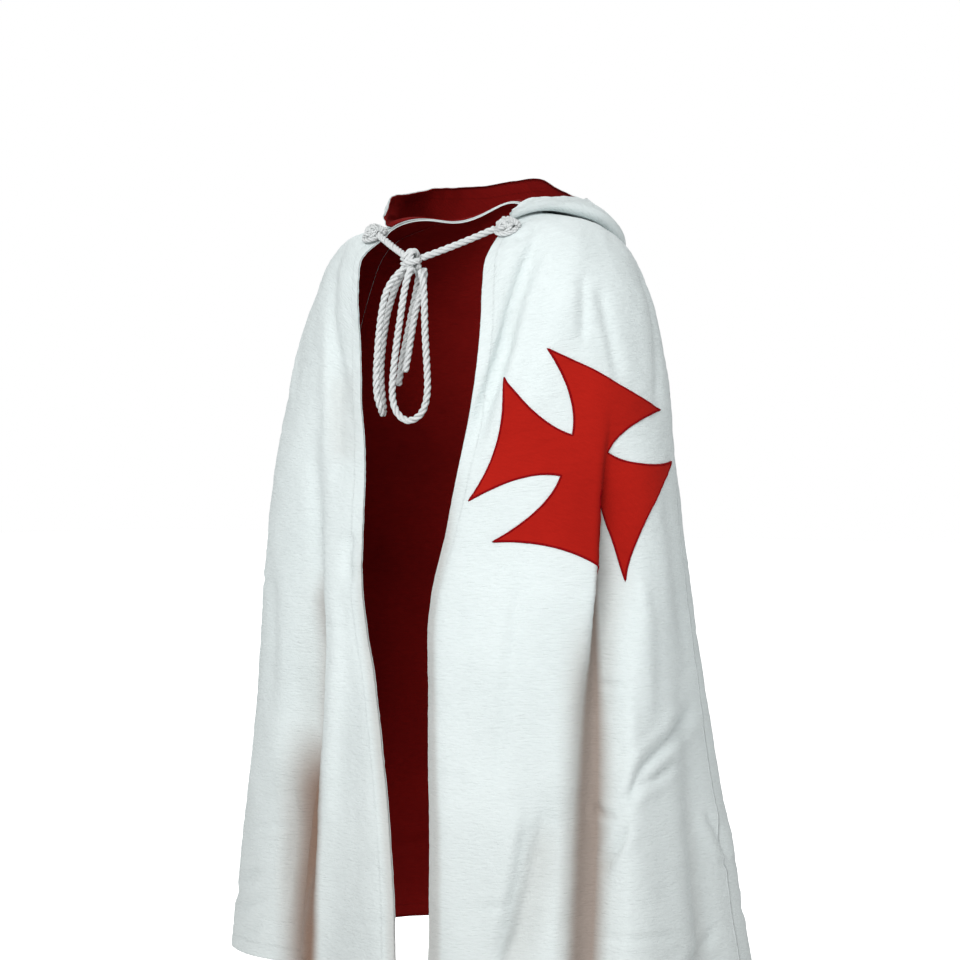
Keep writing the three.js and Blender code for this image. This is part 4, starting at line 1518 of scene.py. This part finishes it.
# ---------- Cross ----------
@dataclass(frozen=True)
class Cross:
    """The applied cross with four flared arms and a satin-stitched edge, in millimetres and degrees."""

    azimuth: float = 67.8
    down: float = 465.0
    turn: float = 18.2
    arm: float = 142.6
    waist: float = 29.0
    tip: float = 94.0
    flare: float = 1.75
    hollow: float = 17.0
    near: float = 0.35
    far: float = 1.3
    drop: float = 0.31
    drop_from: float = 10.0
    drop_ease: float = 20.0
    pull: float = 0.15
    pull_from: float = 430.0
    pull_ease: float = 40.0
    pull_reach: float = 60.0
    across: int = 56
    along: int = 44
    bead: tuple[tuple[float, float], ...] = (
        (-1.9, 0.25), (-1.6, 1.5), (-0.8, 2.05), (0.3, 2.0), (1.0, 1.3), (1.3, 0.25))

    def place(self, flat: np.ndarray) -> tuple[np.ndarray, np.ndarray]:
        """Where flat places of the cross lie on the hanging cloth.

        Args:
            flat: places from its middle, in millimetres, x to the wearer's left and y up.

        Returns:
            Lengths down the cloth and azimuths.
        """
        angle = math.radians(self.turn)
        x = flat[..., 0] * math.cos(angle) + flat[..., 1] * math.sin(angle)
        y = -flat[..., 0] * math.sin(angle) + flat[..., 1] * math.cos(angle)
        past = x - self.drop_from
        pull = self.pull * self.eased_past(self.down - y - self.pull_from, self.pull_ease)
        down = self.down - y + self.drop * self.eased_past(past, self.drop_ease)
        walk = x - pull * smooth(past / self.pull_reach)
        azimuth = np.full(down.shape, self.azimuth)
        steps = 60
        for _ in range(steps):
            half = np.linalg.norm(FORM.base(down, azimuth + 0.25) - FORM.base(down, azimuth - 0.25), axis=-1)
            azimuth = azimuth + walk / steps * MM / (2 * half)
        return down, azimuth

    def on_cloth(self, flat: np.ndarray, lift: float) -> np.ndarray:
        """Points of flat places of the cross at a height over the creased cloth, in metres."""
        down, azimuth = self.place(flat)
        return CLOTH.point(down, azimuth) + CLOTH.normal(down, azimuth) * lift * MM

    def painted_shade(self, flat: np.ndarray) -> np.ndarray:
        """How strongly shade is painted into the colour at flat places of the cross, from 0 to 1."""
        return FORM.hollow(*self.place(flat))

    @staticmethod
    def eased_past(x: np.ndarray, ease: float) -> np.ndarray:
        """Zero before a place and rising by one for each millimetre past it, eased over a length."""
        return (x + np.hypot(x, ease)) / 2

    def half_width(self, share: np.ndarray) -> np.ndarray:
        """Half the arm's width at a share of its length."""
        return self.waist + (self.tip - self.waist) * share ** self.flare

    @staticmethod
    def spun(arm: np.ndarray) -> list[np.ndarray]:
        """Flat places of one arm, turned to each of the four."""
        turns = [math.radians(90 * quarter) for quarter in range(4)]
        return [arm @ np.array([[math.cos(turn), math.sin(turn)], [-math.sin(turn), math.cos(turn)]])
                for turn in turns]

    def outline(self) -> np.ndarray:
        """Draw the whole outline.

        Returns:
            Flat places, one behind the other.
        """
        run = np.linspace(0, 1, 60)
        side = np.stack([self.half_width(run), mix(self.waist, self.arm, run)], -1)
        across = np.linspace(1, -1, 90)[1:-1]
        end = np.stack([across * self.tip, self.arm - self.hollow * (1 - across ** 2)], -1)
        return np.concatenate(self.spun(np.concatenate([side, end, (side * [-1, 1])[::-1][:-1]])))

    def flat_grids(self) -> list[np.ndarray]:
        """Cover the cross with grids.

        Returns:
            Grids of flat places for the middle and the four arms.
        """
        square = np.linspace(-self.waist, self.waist, self.across + 1)
        middle = np.stack(np.meshgrid(square, square[::-1]), -1)
        share = np.linspace(1, 0, self.along + 1)[:, None]
        side = np.linspace(-1, 1, self.across + 1)[None, :]
        reach = mix(self.waist, self.arm, share) - self.hollow * share ** 2 * (1 - side ** 2)
        arm = np.stack(np.broadcast_arrays(side * self.half_width(share), reach), -1)
        return [middle, *self.spun(arm)]

    def build(self, finishes: Finishes) -> bpy.types.Object:
        """Make the cross and its stitched edge.

        Args:
            finishes: the cloak's materials.

        Returns:
            The cross.
        """
        flats, quads, start = [], [], 0
        for grid in self.flat_grids():
            rows, columns = grid.shape[:2]
            number = np.arange(rows * columns).reshape(rows, columns) + start
            quads.append(np.stack([number[:-1, :-1], number[1:, :-1], number[1:, 1:], number[:-1, 1:]],
                                  -1).reshape(-1, 4))
            flats.append(grid.reshape(-1, 2))
            start += rows * columns
        flat, faces = np.concatenate(flats), np.concatenate(quads)
        _, first, same = np.unique(np.round(flat, 3), axis=0, return_index=True, return_inverse=True)
        flat, faces = flat[first], same.ravel()[faces]
        edges = {(int(a), int(b)): True for quad in faces for a, b in zip(quad, np.roll(quad, -1))}
        rim = [(a, b) for a, b in edges if (b, a) not in edges]
        count = len(flat)
        walls = np.array([(b, a, a + count, b + count) for a, b in rim])
        points = np.concatenate([self.on_cloth(flat, self.far), self.on_cloth(flat, self.near)])
        whole = np.concatenate([faces, faces[:, ::-1] + count, walls])
        # Share of the shade painted into the cross's colour in the folds.
        hollow = np.tile(self.painted_shade(flat), 2)
        maps = {"cloth": np.concatenate([flat, flat]) * MM, "border": np.full((2 * count, 2), FAR_FROM_HEM),
                "hollow": np.stack([hollow, hollow], -1)}
        piece = ShellBuilder.object_from("cross_cloth_piece", points, whole, maps, [finishes.cross])
        dress(piece, "cross_cloth", "cross_applique")
        self.stitched_edge(finishes.satin)
        return piece

    def stitched_edge(self, material: bpy.types.Material) -> None:
        """Lay the satin stitches as a low bead round the cross.

        Args:
            material: the stitches' finish.
        """
        line = self.outline()
        ahead = unit(np.roll(line, -1, 0) - np.roll(line, 1, 0))
        aside = np.stack([ahead[:, 1], -ahead[:, 0]], -1)
        run = np.concatenate([[0], np.cumsum(np.linalg.norm(np.diff(line, axis=0), axis=1))])
        rings = [self.on_cloth(line + aside * shift, lift) for shift, lift in self.bead]
        points = np.stack(rings, 1)
        count, sides = points.shape[:2]
        number = np.arange(count * sides).reshape(count, sides)
        after, beside = np.roll(number, -1, 0), np.roll(number, -1, 1)
        quads = np.stack([number, after, np.roll(after, -1, 1), beside], -1).reshape(-1, 4)
        across = np.array([shift for shift, _ in self.bead]) * 0.15
        uv = np.stack(np.broadcast_arrays(across[None, :], run[:, None]), -1).reshape(-1, 2) * MM
        piece = ShellBuilder.object_from("cross_satin_edge", points.reshape(-1, 3), quads, {"cloth": uv},
                                         [material])
        dress(piece, "cross_cloth")


# ---------- Hood ----------
@dataclass(frozen=True)
class Hood:
    """The hood, thrown back: shell and lining."""

    shell: float = 1.3
    lining: float = 1.2
    lift: float = 4.2
    rise: float = 12.0
    fold: float = 16.0
    seam_lift: float = 0.8
    seam_down: float = 2.0
    bulge: float = 4.0
    bulge_share: float = 0.1
    columns: int = 220
    wall_rows: int = 34
    turn_rows: int = 12
    rise_rows: int = 34
    soft: float = 2.2
    fold_least: float = 0.55
    fold_full: float = 70.0

    def sections(self, azimuth: np.ndarray) -> np.ndarray:
        """Profiles from the neck seam, down the back, round the pouch and up to the rim.

        Args:
            azimuth: where the profiles stand, in degrees.

        Returns:
            Rows, columns and places, in metres.
        """
        pouch = HOOD_RIM.along("azimuth", "pouch", azimuth)

        def raised(down: np.ndarray, lift: np.ndarray) -> np.ndarray:
            """Points over the cloak."""
            return FORM.base(down, azimuth) + FORM.normal(down, azimuth) * np.asarray(lift)[..., None] * MM

        rows = []
        for share in np.linspace(0, 1, self.wall_rows):
            down = mix(self.seam_down, pouch, share ** 1.3)
            rows.append(raised(down, mix(self.seam_lift, self.lift,
                                         smooth((down - self.seam_down) / self.rise))))
        fold = self.fold * mix(self.fold_least, 1.0, smooth(pouch / self.fold_full))
        turn = [rows[-1], *(raised(pouch + fold * on, self.lift + fold * up)
                            for on, up in ((0.42, 0.2), (0.5, 0.6), (0.2, 1.0)))]
        for share in np.linspace(0, 1, self.turn_rows + 1)[1:]:
            a = [mix(turn[i], turn[i + 1], share) for i in range(3)]
            b = [mix(a[i], a[i + 1], share) for i in range(2)]
            curve = mix(b[0], b[1], share)
            bow = 3 * share * (1 - share) * 0.55
            rows.append(mix(curve, mix(turn[1], turn[2], share), bow))
        start = turn[-1]
        radius = HOOD_RIM.along("azimuth", "radius", azimuth)
        height = HOOD_RIM.along("azimuth", "height", azimuth)
        outward = np.stack([np.sin(np.radians(azimuth)), -np.cos(np.radians(azimuth)), 0 * azimuth], -1)
        end = (outward * radius[:, None] + np.array([0, 0, 1]) * height[:, None]) * MM
        from_start = radius * MM - np.hypot(start[:, 0], start[:, 1])
        climb = end[:, 2] - start[:, 2]
        chord = np.hypot(from_start, climb)
        bulge = self.bulge * MM + self.bulge_share * chord
        belly = (start + end) / 2 + outward * (climb / chord * bulge)[:, None]
        belly[:, 2] -= from_start / chord * bulge
        for share in np.linspace(0, 1, self.rise_rows + 1)[1:]:
            rows.append((1 - share) ** 2 * start + 2 * share * (1 - share) * belly + share ** 2 * end)
        return np.array(rows)

    def grid_normals(self, grid: np.ndarray) -> np.ndarray:
        """Normals of a grid, into the pouch."""
        return unit(np.cross(np.gradient(grid, axis=0), np.gradient(grid, axis=1)))

    def build(self, finishes: Finishes) -> None:
        """Make shell and lining.

        Args:
            finishes: the cloak's materials.
        """
        first, last = HOOD_RIM.columns["azimuth"][[0, -1]]
        azimuth = np.linspace(first, last, self.columns + 1)
        grid = self.sections(azimuth)
        rows = len(grid)
        rise = smooth((np.arange(rows) - self.wall_rows - 4) / (rows - self.wall_rows - 4))[:, None]
        waves = (soft_noise(azimuth[None, :] / 15.0, rise * 1.3, 5, 2)
                 + 0.5 * soft_noise(azimuth[None, :] / 6.0, rise * 3.0, 8, 2))
        grid = grid + self.grid_normals(grid) * (waves * rise * self.soft * MM)[..., None]
        normals = self.grid_normals(grid)
        around = np.concatenate([np.zeros((rows, 1)), np.cumsum(np.linalg.norm(np.diff(grid, axis=1), axis=2),
                                                                1)], 1)
        length = np.concatenate([np.zeros((1, self.columns + 1)),
                                 np.cumsum(np.linalg.norm(np.diff(grid, axis=0), axis=2), 0)], 0)
        cloth = np.stack([around - around[:, [self.columns // 2]], length], -1)
        border = np.stack([np.full(length.shape, FAR_FROM_HEM), length[-1:] - length], -1)
        gap = self.shell + SEAM_GAP
        for name, near, far, material, slot in (
                ("hood_shell", 0.0, self.shell, finishes.cloak, "cloak_cloth"),
                ("hood_lining", gap, gap + self.lining, finishes.lining, "lining_cloth")):
            piece = ShellBuilder.shell(name + "_cloth", grid + normals * far * MM, grid + normals * near * MM,
                                       cloth, border, 0 * length, [material, material])
            dress(piece, slot, name)


def main() -> None:
    """Build the scene piece by piece."""
    logging.basicConfig(level=logging.INFO, format="%(name)s %(message)s")
    STUDIO.make_camera()
    finishes = Finishes()
    TieRope().build(finishes)
    for panel in PANELS:
        panel.build(finishes)
    Cross().build(finishes)
    Hood().build(finishes)
    STUDIO.make_floor()
    STUDIO.light()


if __name__ == "__main__":
    main()
